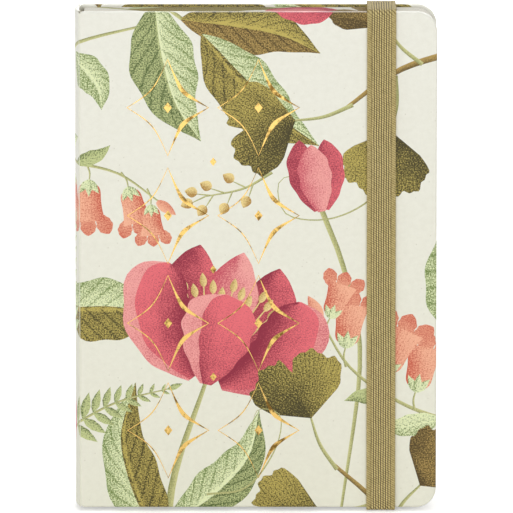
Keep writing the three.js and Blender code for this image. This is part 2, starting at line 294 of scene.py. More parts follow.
def mesh_object(
    name: str, vertices: np.ndarray, faces: list, material: bpy.types.Material
) -> bpy.types.Object:
    """Makes an object from vertices in millimetres.

    Args:
        name: the piece's name.
        vertices: one row per vertex.
        faces: vertex numbers of each face.
        material: what it is made of.

    Returns:
        The object, linked to the scene.
    """
    mesh = bpy.data.meshes.new(name)
    mesh.from_pydata(np.asarray(vertices, float) * MM, [], [list(map(int, f)) for f in faces])
    mesh.materials.append(material)
    return place_object(name, mesh)


def place_object(name: str, data: bpy.types.ID) -> bpy.types.Object:
    """Puts a mesh, a camera or a lamp into the scene."""
    thing = bpy.data.objects.new(name, data)
    bpy.context.scene.collection.objects.link(thing)
    return thing


def face_out(mesh: bpy.types.Mesh) -> None:
    """Turns every face round if the solid is inside out."""
    if sum(polygon.center.dot(polygon.normal) * polygon.area for polygon in mesh.polygons) < 0:
        mesh.flip_normals()


def store(mesh: bpy.types.Mesh, name: str, domain: str, rows: np.ndarray) -> None:
    """Stores values on a mesh for its material.

    Args:
        mesh: the mesh to write to.
        name: the attribute's name.
        domain: POINT for a row per vertex, CORNER for a row per face corner.
        rows: colours where they have four values, vectors where they have three.
    """
    kind, slot = ("FLOAT_COLOR", "color") if rows.shape[1] == 4 else ("FLOAT_VECTOR", "vector")
    mesh.attributes.new(name, kind, domain).data.foreach_set(slot, rows.astype(np.float32).ravel())


@dataclass(frozen=True)
class Ink:
    """A printed colour, from its lightest to its darkest tint."""

    light: str
    dark: str


class Inks(Enum):
    """The inks of the pattern."""

    CRIMSON = Ink("#EC7078", "#8C1F38")
    ROSE = Ink("#F7ABA4", "#C6465A")
    CORAL = Ink("#F8B998", "#CC5C44")
    SAGE = Ink("#E9F0C0", "#6F853F")
    MOSS = Ink("#C6CE90", "#4C5E2A")
    OLIVE = Ink("#C2B05A", "#3A3308")
    BRONZE = Ink("#B89A54", "#4B3A10")
    GOLD = Ink("#F0D892", "#A87C34")
    STEM = Ink("#CDCB8E", "#82854A")


@dataclass(frozen=True)
class Veins:
    """Fine lines in a printed shape: how many along it, how many across it, and how strong."""

    along: float = 0.0
    across: float = 0.0
    strength: float = 0.0


@dataclass(frozen=True)
class Tone:
    """Where a printed shape gets darker: towards one side, towards its tip, and towards its rim."""

    side: float = 0.0
    tip: float = 0.0
    rim: float = 0.0
    base: float = 0.35


class PlainShapes(Enum):
    """Width of a long shape along its length, as pairs of (place, share of the full width)."""

    LEAF = (
        (0, 0.05), (0.08, 0.38), (0.25, 0.85), (0.42, 1.0),
        (0.62, 0.84), (0.82, 0.44), (0.94, 0.14), (1, 0.01),
    )
    PETAL = (
        (0, 0.22), (0.12, 0.52), (0.32, 0.86), (0.55, 1.0),
        (0.75, 0.88), (0.9, 0.5), (0.97, 0.2), (1, 0.02),
    )
    ROUND_PETAL = ((0, 0.16), (0.15, 0.5), (0.4, 0.86), (0.65, 1.0), (0.83, 0.93), (0.94, 0.62), (1, 0.05))
    BELL = ((0, 0.1), (0.06, 0.45), (0.2, 0.66), (0.5, 0.72), (0.78, 0.84), (1, 1.0))
    STEM = ((0, 1.0), (0.5, 0.8), (1, 0.45))
    TENDRIL = ((0, 1.0), (0.6, 0.55), (1, 0.2))
    BUD = ((0, 0.3), (0.15, 0.75), (0.4, 1.0), (0.7, 0.72), (0.92, 0.25), (1, 0.02))


@dataclass
class Motif:
    """One printed shape: a centre line with a width that changes along it."""

    spine: np.ndarray
    half_width: float
    shape: PlainShapes
    ink: Inks
    veins: Veins = Veins()
    tone: Tone = Tone()
    ruffle: float = 0.0
    reach: tuple[float, float] = (-1.0, 1.0)  # share of the width from its right edge to its left
    outline: np.ndarray = field(init=False)

    def __post_init__(self) -> None:
        """Draws the outline round the centre line."""
        self.run = run_along(self.spine)
        self.length = float(self.run[-1])
        tangent = np.gradient(self.spine, axis=0)
        tangent /= np.linalg.norm(tangent, axis=1)[:, None] + 1e-9
        normal = np.stack([-tangent[:, 1], tangent[:, 0]], 1)
        share = self.run / self.length
        wide = self.width_at(share)
        fade = np.minimum(share * 4, 1) * np.minimum((1 - share) * 5, 1)
        wave = self.ruffle * np.sin(share * 23 + self.spine[0, 0]) * fade
        low, high = self.reach
        left = self.spine + normal * (wide * high * (1 + wave))[:, None]
        right = self.spine + normal * (wide * low * (1 - wave))[:, None]
        loop = np.vstack([right, left[::-1]])
        gaps = np.linalg.norm(loop - np.roll(loop, 1, axis=0), axis=1)
        self.outline = loop[gaps > 0.02]

    def width_at(self, share: np.ndarray) -> np.ndarray:
        """Half width at places along the centre line, each a share from 0 to 1."""
        curve = smooth_path(list(self.shape.value), 60)
        return self.half_width * np.interp(share, curve[:, 0], np.maximum(curve[:, 1], 0.01))

    def chart(self, points: np.ndarray) -> tuple[np.ndarray, np.ndarray]:
        """Gives each point's place in the shape.

        Args:
            points: points in or on the shape.

        Returns:
            The share along it from 0 to 1, and the share across it from -1 to 1.
        """
        start, step = self.spine[:-1], np.diff(self.spine, axis=0)
        size = np.linalg.norm(step, axis=1)
        t = np.einsum("pkc,kc->pk", points[:, None] - start[None], step) / size**2
        t = np.clip(t, 0, 1)
        foot = start[None] + t[..., None] * step[None]
        away = points[:, None] - foot
        nearest = np.argmin(np.einsum("pkc,pkc->pk", away, away), axis=1)
        rows = np.arange(len(points))
        along = (self.run[nearest] + t[rows, nearest] * size[nearest]) / self.length
        side = step[nearest, 0] * away[rows, nearest, 1] - step[nearest, 1] * away[rows, nearest, 0]
        across = side / size[nearest] / np.maximum(self.width_at(along), 0.15)
        return along, np.clip(across, -1, 1)


@dataclass
class Fan(Motif):
    """A fan-shaped leaf: its centre line is the axis, and its half width the half angle in degrees."""

    notch: float = 0.3  # how deep its middle is slit, as a share of its length
    notch_width: float = 0.07  # as a share of the half angle
    droop: float = 0.22  # how much shorter it is at its sides

    def __post_init__(self) -> None:
        """Draws a notched, waved fan round the foot of its axis."""
        self.foot = self.spine[0]
        self.axis = self.spine[-1] - self.foot
        self.length = float(np.linalg.norm(self.axis))
        self.axis = self.axis / self.length
        self.heading = math.atan2(self.axis[1], self.axis[0])
        self.half_angle = math.radians(self.half_width)
        share = np.linspace(-1, 1, 61)
        reach = self.length * self.reach_at(share)
        angles = self.heading + share * self.half_angle
        rim = self.foot + np.stack([np.cos(angles), np.sin(angles)], 1) * reach[:, None]
        self.outline = np.vstack([rim, self.foot[None] - self.axis * 0.4])

    def reach_at(self, share: np.ndarray) -> np.ndarray:
        """How far the rim reaches at each share of the half angle, for a length of 1."""
        notch = self.notch * np.exp(-((share / self.notch_width) ** 2))
        wave = 0.035 * np.sin(share * 17 + self.foot[0]) + 0.02 * np.sin(share * 41 + self.foot[1])
        return (1 - self.droop * share**4 - notch + wave) * (1 - 0.25 * np.abs(share) ** 12)

    def chart(self, points: np.ndarray) -> tuple[np.ndarray, np.ndarray]:
        """Gives each point's share of the way out and its share of the half angle."""
        away = points - self.foot
        out = np.linalg.norm(away, axis=1)
        turn = np.arctan2(away[:, 1], away[:, 0]) - self.heading
        turn = (turn + math.pi) % (2 * math.pi) - math.pi
        across = np.clip(turn / self.half_angle, -1, 1)
        return np.clip(out / (self.length * self.reach_at(across)), 0, 1), across


@dataclass(frozen=True)
class Place:
    """Where a plant stands on the sheet: its foot in millimetres, its heading in degrees, its size."""

    u: float
    v: float
    heading: float = 90.0
    size: float = 1.0
    mirrored: bool = False

    def at(self, points: Line) -> Line:
        """Moves points of the plant's own frame, whose x runs ahead and y to the left, to the sheet."""
        p = np.asarray(points, float) * self.size
        if self.mirrored:
            p = p * (1, -1)
        a = math.radians(self.heading)
        x = self.u + p[:, 0] * math.cos(a) - p[:, 1] * math.sin(a)
        y = self.v + p[:, 0] * math.sin(a) + p[:, 1] * math.cos(a)
        return list(zip(x, y))

    def ahead(self, along: float, aside: float, turn: float, size: float = 1.0) -> "Place":
        """A place further on in this plant's own frame, turned by some degrees."""
        (u, v), = self.at([(along, aside)])
        flip = -1 if self.mirrored else 1
        return Place(u, v, self.heading + flip * turn, self.size * size, self.mirrored)


class Pattern:
    """The all-over pattern: every printed shape on the sheet, in the order that they were laid down."""

    LEAF_VEINS = Veins(9, -2.2, 0.5)
    PETAL_VEINS = Veins(0, 5, 0.11)
    FAN_VEINS = Veins(0, 15, 0.45)

    def __init__(self) -> None:
        """Starts with a bare sheet."""
        self.motifs: list[Motif] = []

    def long_shape(
        self,
        place: Place,
        points: Line,
        half_width: float,
        shape: PlainShapes,
        ink: Inks,
        veins: Veins = Veins(),
        tone: Tone = Tone(),
        ruffle: float = 0.0,
        steps: int = 16,
        reach: tuple[float, float] = (-1.0, 1.0),
    ) -> None:
        """Lays down one long shape, its centre line given in the plant's own frame."""
        spine = smooth_path(place.at(points), steps)
        self.motifs.append(Motif(spine, half_width * place.size, shape, ink, veins, tone, ruffle, reach))

    def stem(self, place: Place, points: Line, half_width: float = 0.7, ink: Inks = Inks.STEM) -> None:
        """A tapered stem with a light and a dark side."""
        tone, steps = Tone(side=0.5, base=0.4), max(10, 4 * len(points))
        self.long_shape(place, points, half_width, PlainShapes.STEM, ink, tone=tone, steps=steps)

    def tendril(self, place: Place, points: Line, half_width: float = 0.4) -> None:
        """A thin curling tendril."""
        tone = Tone(base=0.45)
        self.long_shape(place, points, half_width, PlainShapes.TENDRIL, Inks.STEM, tone=tone, steps=30)

    def bud(self, place: Place, points: Line, half_width: float, ink: Inks, tone: Tone, steps: int) -> None:
        """A small closed bud, berry or grain."""
        self.long_shape(place, points, half_width, PlainShapes.BUD, ink, tone=tone, steps=steps)

    def leaf(
        self,
        place: Place,
        length: float,
        half_width: float,
        ink: Inks,
        bend: float = 0.0,
        under: Inks | None = None,
        lap: float = 0.0,
    ) -> None:
        """A long pointed leaf with a midrib and side veins.

        Args:
            place: its foot and heading.
            length: from foot to tip.
            half_width: half its greatest width.
            ink: colour of the leaf.
            bend: how far its centre line bows to the left.
            under: colour of the right half, where that half is turned over and shows its underside.
            lap: how far over the midrib the turned half reaches, as a share of the half width.
        """
        points = [(0, 0), (length * 0.35, bend * 0.6), (length * 0.7, bend * 0.75), (length, 0)]
        blade = (place, points, half_width, PlainShapes.LEAF)
        self.long_shape(*blade, ink, self.LEAF_VEINS, Tone(side=0.45, rim=0.1, base=0.12), 0.05, 26)
        if under:
            shade = Tone(side=0.35, tip=0.15, rim=0.2, base=0.62)
            self.long_shape(*blade, under, self.LEAF_VEINS, shade, 0.05, 26, (-1.04, lap))

    def petal(
        self,
        place: Place,
        length: float,
        half_width: float,
        ink: Inks,
        bend: float,
        tone: Tone,
        shape: PlainShapes = PlainShapes.PETAL,
        reach: tuple[float, float] = (-1.0, 1.0),
    ) -> None:
        """A streaked petal, or a strip of one, whose centre line bows to the side by bend."""
        points = [(0, 0), (length * 0.4, bend), (length * 0.75, bend * 0.9), (length, bend * 0.1)]
        self.long_shape(place, points, half_width, shape, ink, self.PETAL_VEINS, tone, 0.05, 26, reach)

    def round_petal(self, place: Place, length: float, half_width: float, bend: float, tone: Tone) -> None:
        """A broad crimson petal of a tulip."""
        self.petal(place, length, half_width, Inks.CRIMSON, bend, tone, PlainShapes.ROUND_PETAL)

    def turned_rim(
        self, place: Place, length: float, half_width: float, bend: float, reach: tuple[float, float]
    ) -> None:
        """The paler rim of a petal where it turns over, between two shares of the petal's half width."""
        tone = Tone(side=-0.2, tip=-0.4, base=0.6)
        self.petal(place, length, half_width, Inks.ROSE, bend, tone, PlainShapes.ROUND_PETAL, reach)

    def tulip(self, place: Place) -> None:
        """An open tulip, 50 mm tall at size 1: three petals behind, two at the sides and one in front."""
        far = Tone(side=0.4, tip=-0.6, rim=0.15, base=1.1)
        self.petal(place.ahead(2, 4, 14), 46, 10.5, Inks.CRIMSON, 3, far)
        self.petal(place.ahead(2, -4, -12), 45, 10.5, Inks.CRIMSON, -3, far)
        self.petal(place.ahead(1, 0, 0), 47, 9.5, Inks.ROSE, 0, Tone(side=0.5, tip=-0.8, rim=0.25, base=1.0))
        for k in range(11):
            self.stamen(place.ahead(15, (k - 5) * 1.5, (k - 5) * 6), 15 + 2 * (k % 3))
        left, right, front = place.ahead(0, 5, 26), place.ahead(0, -5, -26), place.ahead(-1, 0, 3)
        self.round_petal(left, 42, 11.5, 8, Tone(side=-0.7, tip=-0.55, rim=0.4, base=0.65))
        self.round_petal(right, 41, 11.5, -8, Tone(side=0.7, tip=-0.55, rim=0.4, base=0.75))
        self.turned_rim(left, 42, 11.5, 8, (0.62, 1.03))
        self.turned_rim(right, 41, 11.5, -8, (-1.03, -0.72))
        self.round_petal(front, 33, 12.5, 0, Tone(side=0.5, tip=-0.8, rim=0.5, base=0.65))
        self.turned_rim(front, 33, 12.5, 0, (0.5, 1.03))

    def stamen(self, place: Place, length: float) -> None:
        """A gold thread with a grain at its end."""
        thread = Tone(base=0.25)
        self.long_shape(place, [(0, 0), (length, 0)], 0.45, PlainShapes.STEM, Inks.GOLD, tone=thread, steps=5)
        grain = Tone(side=0.4, base=0.3)
        self.bud(place.ahead(length - 0.6, 0, 0), [(0, 0), (5, 0.3)], 1.3, Inks.GOLD, grain, 9)

    def tulip_bud(self, place: Place) -> None:
        """A closed bud, 28 mm long at size 1."""
        self.petal(place.ahead(0, 1.5, 6), 27, 5.5, Inks.CRIMSON, 1.6, Tone(base=0.75))
        self.petal(place.ahead(0, -1.5, -6), 26, 5.5, Inks.CRIMSON, -1.6, Tone(side=0.3, base=0.6))
        self.petal(place.ahead(-0.5, 0, 1), 25, 6.0, Inks.ROSE, 0.4, Tone(side=0.35, rim=0.2, base=0.3))

    def bell(self, place: Place, ink: Inks = Inks.CORAL) -> None:
        """A bellflower, 20 mm long at size 1, with flared lips and a green cap."""
        for turn, aside in ((28, 4.6), (-28, -4.6), (0, 0)):
            self.petal(place.ahead(14, aside, turn), 9.5, 3.4, ink, 0, Tone(tip=0.3, base=0.45))
        points, veins = [(0, 0), (9, 0), (17, 0)], Veins(0, 4, 0.3)
        tone = Tone(side=0.5, tip=-0.5, rim=0.15, base=0.65)
        self.long_shape(place, points, 7.4, PlainShapes.BELL, ink, veins, tone, 0, 20)
        for turn in (35, -35, 0):
            self.leaf(place.ahead(-1.2, 0, turn), 7.5, 1.5, Inks.SAGE)

    def bellflowers(self, place: Place) -> None:
        """An arching stem with bells and buds hanging from it, 70 mm long at size 1."""
        self.stem(place, [(0, 0), (22, 5), (46, 4), (66, -6)], 0.75)
        hang = ((18, 5, -62, 0.95), (33, 6, -75, 1.0), (48, 4.5, -58, 0.9), (60, -1, -70, 0.75))
        for along, aside, turn, size in hang:
            knee = place.ahead(along, aside, turn)
            self.stem(knee, [(0, 0), (4, 0.8), (8, 0)], 0.45)
            self.bell(knee.ahead(8, 0, -8, size))
        self.bud(place.ahead(65, -6, -30), [(0, 0), (10, 0.4)], 2.3, Inks.CORAL, Tone(side=0.4), 10)
        self.leaf(place.ahead(8, 2, 38), 24, 4.2, Inks.SAGE, 2)
        self.leaf(place.ahead(27, 5.5, 34), 18, 3.2, Inks.MOSS, -2)

    def ginkgo(self, place: Place, reach: float, half_angle: float = 62.0, ink: Inks = Inks.OLIVE) -> None:
        """A fan leaf on its stalk."""
        self.stem(place, [(0, 0), (reach * 0.45, reach * 0.06), (reach * 0.9, 0)], 0.6)
        foot = place.ahead(reach * 0.88, 0, -4)
        spine = smooth_path(foot.at([(0, 0), (reach, 0)]), 2)
        tone = Tone(side=0.4, tip=-0.55, rim=0.15, base=1.05)
        self.motifs.append(Fan(spine, half_angle, PlainShapes.LEAF, ink, self.FAN_VEINS, tone))

    def ginkgo_twig(self, place: Place) -> None:
        """A short woody twig with three fans, 55 mm long at size 1."""
        self.stem(place, [(-12, 1.5), (0, 0), (20, -2), (38, 2)], 1.1, Inks.BRONZE)
        self.ginkgo(place.ahead(14, -1, -70), 17, 58, Inks.BRONZE)
        self.ginkgo(place.ahead(22, -1, 62), 18, 60)
        self.ginkgo(place.ahead(36, 2, -8), 19, 64)

    def fern(self, place: Place, length: float = 46.0, ink: Inks = Inks.MOSS, count: int = 9) -> None:
        """A frond with small paired leaflets that shorten to its tip."""
        self.stem(place, [(0, 0), (length * 0.5, 2.5), (length, 0)], 0.5)
        for k in range(count):
            share = (k + 0.8) / count
            size, rise = (1 - 0.75 * share) * 12, 2.5 * math.sin(share * math.pi)
            for turn in (58 - 16 * share, 16 * share - 58):
                self.leaf(place.ahead(length * share * 0.94, rise, turn), size, size * 0.17, ink)
        self.leaf(place.ahead(length * 0.97, 0, 0), 6, 1.1, ink)

    def berries(self, place: Place) -> None:
        """A forked sprig with seven small gold berries."""
        self.stem(place, [(0, 0), (12, 2), (26, 0)], 0.5)
        forks = ((8, 1.6, 48), (11, 1.9, -50), (16, 1.6, 44), (19, 1.1, -42), (23, 0.5, 34), (24, 0.3, -30))
        for along, aside, turn in (*forks, (26, 0, 2)):
            twig = place.ahead(along, aside, turn)
            self.stem(twig, [(0, 0), (5.5, 0.4)], 0.3)
            self.bud(twig.ahead(5, 0, 0), [(0, 0), (4.6, 0)], 2.0, Inks.GOLD, Tone(side=0.6, base=0.45), 8)

    def lance_leaves(self, place: Place) -> None:
        """A stem with four long leaves, 75 mm long at size 1."""
        self.stem(place, [(0, 0), (18, 3), (40, 2)], 0.9)
        self.leaf(place.ahead(10, 2, 34), 52, 10.5, Inks.SAGE, 6, Inks.OLIVE, 0.1)
        self.leaf(place.ahead(20, 2.5, -38), 46, 10.0, Inks.SAGE, -5, Inks.MOSS)
        self.leaf(place.ahead(30, 2.5, 20), 44, 8.5, Inks.OLIVE, 4, Inks.BRONZE, -0.1)
        self.leaf(place.ahead(38, 2, -10), 50, 9.5, Inks.SAGE, -4, Inks.OLIVE, 0.2)

    def tulip_plant(self, place: Place) -> None:
        """A tulip on a long stem between two blades, 120 mm tall at size 1."""
        self.stem(place, [(0, 0), (32, 4), (70, 0)], 1.5)
        self.leaf(place.ahead(6, 1, 22), 62, 9.5, Inks.SAGE, 10, Inks.OLIVE, 0.15)
        self.leaf(place.ahead(16, 2.5, -26), 52, 8.5, Inks.SAGE, -9, Inks.MOSS, -0.1)
        self.tulip(place.ahead(69, 0, -4))

    def topmost(self, points: np.ndarray) -> np.ndarray:
        """Finds which shape shows at each point.

        Args:
            points: places on the sheet.

        Returns:
            Number of the last shape laid over each point, or -1 on bare paper.
        """
        found = np.full(len(points), -1)
        for number, motif in enumerate(self.motifs):
            found[inside(points, motif.outline)] = number
        return found

    def charted(
        self, points: np.ndarray, shown: np.ndarray
    ) -> Iterator[tuple[Motif, np.ndarray, np.ndarray, np.ndarray]]:
        """Goes through the shapes that show.

        Args:
            points: places on the sheet.
            shown: number of the shape that each shows, or -1.

        Returns:
            Each shape, the numbers of its points, and their shares along it and across it.
        """
        for number in np.unique(shown[shown >= 0]):
            here = np.flatnonzero(shown == number)
            yield self.motifs[number], here, *self.motifs[number].chart(points[here])

    def inks(self, points: np.ndarray, shown: np.ndarray) -> dict[str, np.ndarray]:
        """Works out what the paper's material needs at each face corner.

        Args:
            points: place of each corner on the sheet.
            shown: number of the shape that each corner's face shows, or -1.

        Returns:
            Rows for each attribute, by name.
        """
        total = len(points)
        rows = {name: np.zeros((total, 3)) for name in ("sheet_mm", "ink_map", "ink_vein", "ink_tone")}
        rows |= {name: np.ones((total, 4)) for name in ("ink_light", "ink_dark")}
        rows["sheet_mm"][:, :2] = points
        for motif, here, along, across in self.charted(points, shown):
            veins, tone = motif.veins, motif.tone
            rows["ink_map"][here] = np.stack([along, across, np.ones(len(here))], 1)
            rows["ink_light"][here] = (*linear(motif.ink.value.light)[:3], tone.base)
            rows["ink_dark"][here] = linear(motif.ink.value.dark)
            rows["ink_vein"][here] = (veins.along, veins.across, veins.strength)
            rows["ink_tone"][here] = (tone.side, tone.tip, tone.rim)
        return rows


def lay_out_pattern() -> Pattern:
    """Lays the plants over the whole sheet: front cover, spine and back cover."""
    p = Pattern()
    # front cover
    p.stem(Place(24, 112, -84), [(0, 0), (24, 6), (58, 8), (118, -6)], 1.0)
    p.stem(Place(-96, 146, 40), [(0, 0), (18, 4), (40, 2), (66, -10)], 0.9)
    p.leaf(Place(-68, 170, 300), 24, 6.0, Inks.SAGE, 4, Inks.SAGE, -0.15)
    p.leaf(Place(-76, 163, 118), 30, 7.5, Inks.OLIVE, 4, Inks.BRONZE, 0.12)
    p.leaf(Place(-78, 74, -6), 50, 11.5, Inks.SAGE, 5, Inks.OLIVE, 0.1)
    p.lance_leaves(Place(-58, 200, -34, 1.18))
    p.leaf(Place(76, 62, 92), 50, 11.0, Inks.SAGE, 4, Inks.OLIVE, 0.1)
    p.ginkgo_twig(Place(78, 172, 203, 1.32))
    p.tendril(Place(50, 138, 230), [(0, 0), (18, 8), (36, 2), (46, -12), (38, -22), (30, -14), (35, -8)])
    p.berries(Place(6, 126, 200, 1.0))
    p.tulip_bud(Place(24, 112, 98, 1.0))
    p.bellflowers(Place(76, 32, 148, 1.0))
    p.tulip_plant(Place(-33, -22, 78, 1.04))
    p.tulip_bud(Place(4, 192, -6, 0.95))
    p.fern(Place(-70, 30, 22), 42)
    p.ginkgo_twig(Place(58, -22, 124, 1.3))
    p.bellflowers(Place(-90, 128, -8, 0.85))
    p.tendril(Place(-18, 6, 30), [(0, 0), (14, -5), (30, 2), (38, 12), (32, 18), (26, 12)])
    # spine
    p.fern(Place(-74, 62, 84), 46, Inks.SAGE)
    p.tulip_bud(Place(-76, 22, 96, 0.8))
    p.stem(Place(-76, 22, -84), [(0, 0), (14, 3), (46, 0)], 0.9)
    p.ginkgo(Place(-74, 172, 250), 14)
    # back cover
    p.lance_leaves(Place(-214, 196, -44, 1.1))
    p.leaf(Place(-98, 189, 174), 62, 11.0, Inks.OLIVE, 3, Inks.BRONZE, 0.1)
    p.bellflowers(Place(-92, 176, 228, 1.0))
    p.ginkgo_twig(Place(-214, -4, 62, 1.25))
    p.tulip_plant(Place(-120, -22, 98, 1.0))
    p.fern(Place(-178, 122, 112), 44)
    p.berries(Place(-202, 96, 70, 1.15))
    p.tulip_bud(Place(-192, 78, 130, 0.9))
    p.stem(Place(-192, 78, -50), [(0, 0), (18, 5), (44, 2), (84, 10)], 1.0)
    p.ginkgo_twig(Place(-152, 140, -14, 1.1))
    p.fern(Place(-90, 22, 118), 38, Inks.SAGE)
    p.tendril(Place(-158, 92, 110), [(0, 0), (16, 6), (30, 0), (40, -12), (34, -20), (27, -14)])
    return p


@dataclass(frozen=True)
class PrintedLaminate:
    """Cream offset-printed paper under a matt film: soft sheen, with an engraving's grain in its inks."""

    ground: str = "#F2F1E5"
    shaded_tail_ground: str = "#EEEDDB"  # painted shade: the cream darkens a little towards the tail, where the light falls off
    fleck: str = "#B9B49C"
    mottling: float = 0.1  # how far the ground goes towards the fleck at its darkest, as in unbleached stock
    fleck_spacing: float = 3.4
    grain: float = 0.5  # width of the engraving's dots, coarser than real so that they show
    unevenness: float = 0.5  # width of the paper's own bumps under the film
    roughness: float = 0.46
    ior: float = 1.39  # under the film's 1.5, because the white studio reflects more than a room

    def dress(self) -> bpy.types.Material:
        """Builds the material, which reads the inks from the mesh's own attributes."""
        material, add = new_material("matt_laminated_printed_paper")
        sheet = add("Attribute", attribute_name="sheet_mm").outputs["Vector"]
        light = add("Attribute", attribute_name="ink_light").outputs
        dark = add("Attribute", attribute_name="ink_dark").outputs
        rows = [add("Attribute", attribute_name=f"ink_{name}").outputs for name in ("map", "vein", "tone")]
        place, vein, tone = [add("SeparateXYZ", [row["Vector"]]).outputs for row in rows]
        aside = add("Math", [place["Y"]], operation="ABSOLUTE").outputs[0]
        # veins: fine darker lines, a little uneven
        wobble = add("TexNoise", {"Vector": sheet, "Scale": 0.5, "Detail": 2.0}).outputs["Fac"]
        phase = add("Math", [place["X"], vein["X"]], operation="MULTIPLY").outputs[0]
        phase = add("Math", [aside, vein["Y"], phase], operation="MULTIPLY_ADD").outputs[0]
        phase = add("Math", [wobble, 0.35, phase], operation="MULTIPLY_ADD").outputs[0]
        near = add("Math", [phase, 0.5], operation="PINGPONG").outputs[0]
        lines = add("MapRange", [near, 0.0, 0.17, 1.0, 0.0], interpolation_type="SMOOTHSTEP").outputs[0]
        lines = add("Math", [lines, vein["Z"]], operation="MULTIPLY").outputs[0]
        rib = add("MapRange", [aside, 0.02, 0.11, 1.0, 0.0], interpolation_type="SMOOTHSTEP").outputs[0]
        leafy = add("Math", [vein["X"], 0.075], operation="MULTIPLY").outputs[0]
        rib = add("Math", [rib, leafy], operation="MULTIPLY").outputs[0]
        # tone: the base tint, then towards the side, the tip and the rim, then veins, then the grain
        depth = add("Math", [place["Y"], tone["X"], light["Alpha"]], operation="MULTIPLY_ADD").outputs[0]
        depth = add("Math", [place["X"], tone["Y"], depth], operation="MULTIPLY_ADD").outputs[0]
        square = add("Math", [aside, aside], operation="MULTIPLY").outputs[0]
        depth = add("Math", [square, tone["Z"], depth], operation="MULTIPLY_ADD").outputs[0]
        depth = add("Math", [depth, lines], operation="ADD").outputs[0]
        depth = add("Math", [depth, rib], operation="SUBTRACT").outputs[0]
        cloud = add("TexNoise", {"Vector": sheet, "Scale": 0.16, "Detail": 3.0}).outputs["Fac"]
        depth = add("Math", [cloud, 0.7, depth], operation="MULTIPLY_ADD").outputs[0]
        dots = add("TexNoise", {"Vector": sheet, "Scale": 1 / self.grain, "Detail": 1.0, "Roughness": 0.7})
        dots = add("Math", [dots.outputs["Fac"], 0.5], operation="SUBTRACT").outputs[0]
        stipple = add("Math", [vein["Z"], 4.6, 1.8], operation="MULTIPLY_ADD").outputs[0]
        depth = add("Math", [dots, stipple, depth], operation="MULTIPLY_ADD").outputs[0]
        depth = add("MapRange", [depth, 0.15, 1.65], interpolation_type="SMOOTHSTEP").outputs[0]
        ink = add(
            "Mix", {SHARE: depth, FIRST: light["Color"], SECOND: dark["Color"]}, data_type="RGBA"
        ).outputs[MIXED]
        # ground: cream with painted shade darkening it towards the tail, faintly mottled, with sparse grey
        # flecks
        cells = add("TexVoronoi", {"Vector": sheet, "Scale": 1 / self.fleck_spacing}).outputs["Distance"]
        flecks = add("MapRange", [cells, 0.1, 0.03, 0.0, 0.45]).outputs[0]
        clouds = add("TexNoise", {"Vector": sheet, "Scale": 0.45, "Detail": 5.0, "Roughness": 0.7})
        mottle = add("MapRange", [clouds.outputs["Fac"], 0.38, 0.68, 0.0, self.mottling]).outputs[0]
        flecks = add("Math", [flecks, mottle], operation="MAXIMUM").outputs[0]
        # painted shade: the ground's cream darkens from the head down to the tail
        height = add("SeparateXYZ", [sheet]).outputs["Y"]
        height = add("MapRange", [height, 0.0, SIZES.head_z]).outputs[0]
        cream = add(
            "Mix",
            {SHARE: height, FIRST: linear(self.shaded_tail_ground), SECOND: linear(self.ground)},
            data_type="RGBA",
        ).outputs[MIXED]
        ground = add(
            "Mix", {SHARE: flecks, FIRST: cream, SECOND: linear(self.fleck)}, data_type="RGBA"
        ).outputs[MIXED]
        paper = add("Mix", {SHARE: place["Z"], FIRST: ground, SECOND: ink}, data_type="RGBA").outputs[MIXED]
        # the film over the print: nearly smooth, with the paper's own slight unevenness
        bumps = add("TexNoise", {"Vector": sheet, "Scale": 1 / self.unevenness, "Detail": 3.0}).outputs["Fac"]
        bump = add("Bump", {"Height": bumps, "Strength": 0.12, "Distance": 0.02 * MM}).outputs["Normal"]
        sheen = add("MapRange", [bumps, 0.0, 1.0, self.roughness - 0.05, self.roughness + 0.06]).outputs[0]
        surface = add(
            "BsdfPrincipled", {"Base Color": paper, "Roughness": sheen, "IOR": self.ior, "Normal": bump}
        ).outputs["BSDF"]
        add("OutputMaterial", {"Surface": surface})
        return material


@dataclass(frozen=True)
class PrintedEdge:
    """Trimmed writing paper, printed over its edges: matt, with the line of every leaf."""

    leaf_pitch: float = 0.275  # two leaves, drawn coarser than the real 0.13 mm so that they show
    fibre: float = 1.3
    roughness: float = 0.85
    ior: float = 1.5

    def dress(self) -> bpy.types.Material:
        """Builds the material, which reads the print from the mesh's colours."""
        material, add = new_material("printed_page_edges")
        print_over = add("Attribute", attribute_name="edge_print").outputs["Color"]
        spot = add("TexCoord").outputs["Object"]
        depth = add("SeparateXYZ", [spot]).outputs["Y"]
        fibre = add(
            "TexNoise", {"Vector": spot, "Scale": 1 / (self.fibre * MM), "Detail": 3.0}
        ).outputs["Fac"]
        leaf = add("Math", [depth, 1 / (self.leaf_pitch * MM)], operation="MULTIPLY").outputs[0]
        leaf = add("Math", [fibre, 0.7, leaf], operation="MULTIPLY_ADD").outputs[0]
        leaf = add("Math", [leaf, 0.5], operation="PINGPONG").outputs[0]
        # painted shade: a darker line in the gap between every two leaves
        shade = add("MapRange", [leaf, 0.0, 0.22, 0.62, 1.0]).outputs[0]
        colour = add(
            "Mix", {SHARE: 1.0, FIRST: print_over, SECOND: shade}, data_type="RGBA", blend_type="MULTIPLY"
        ).outputs[MIXED]
        bump = add("Bump", {"Height": leaf, "Strength": 0.5, "Distance": 0.06 * MM}).outputs["Normal"]
        surface = add(
            "BsdfPrincipled",
            {"Base Color": colour, "Roughness": self.roughness, "IOR": self.ior, "Normal": bump},
        ).outputs["BSDF"]
        add("OutputMaterial", {"Surface": surface})
        return material


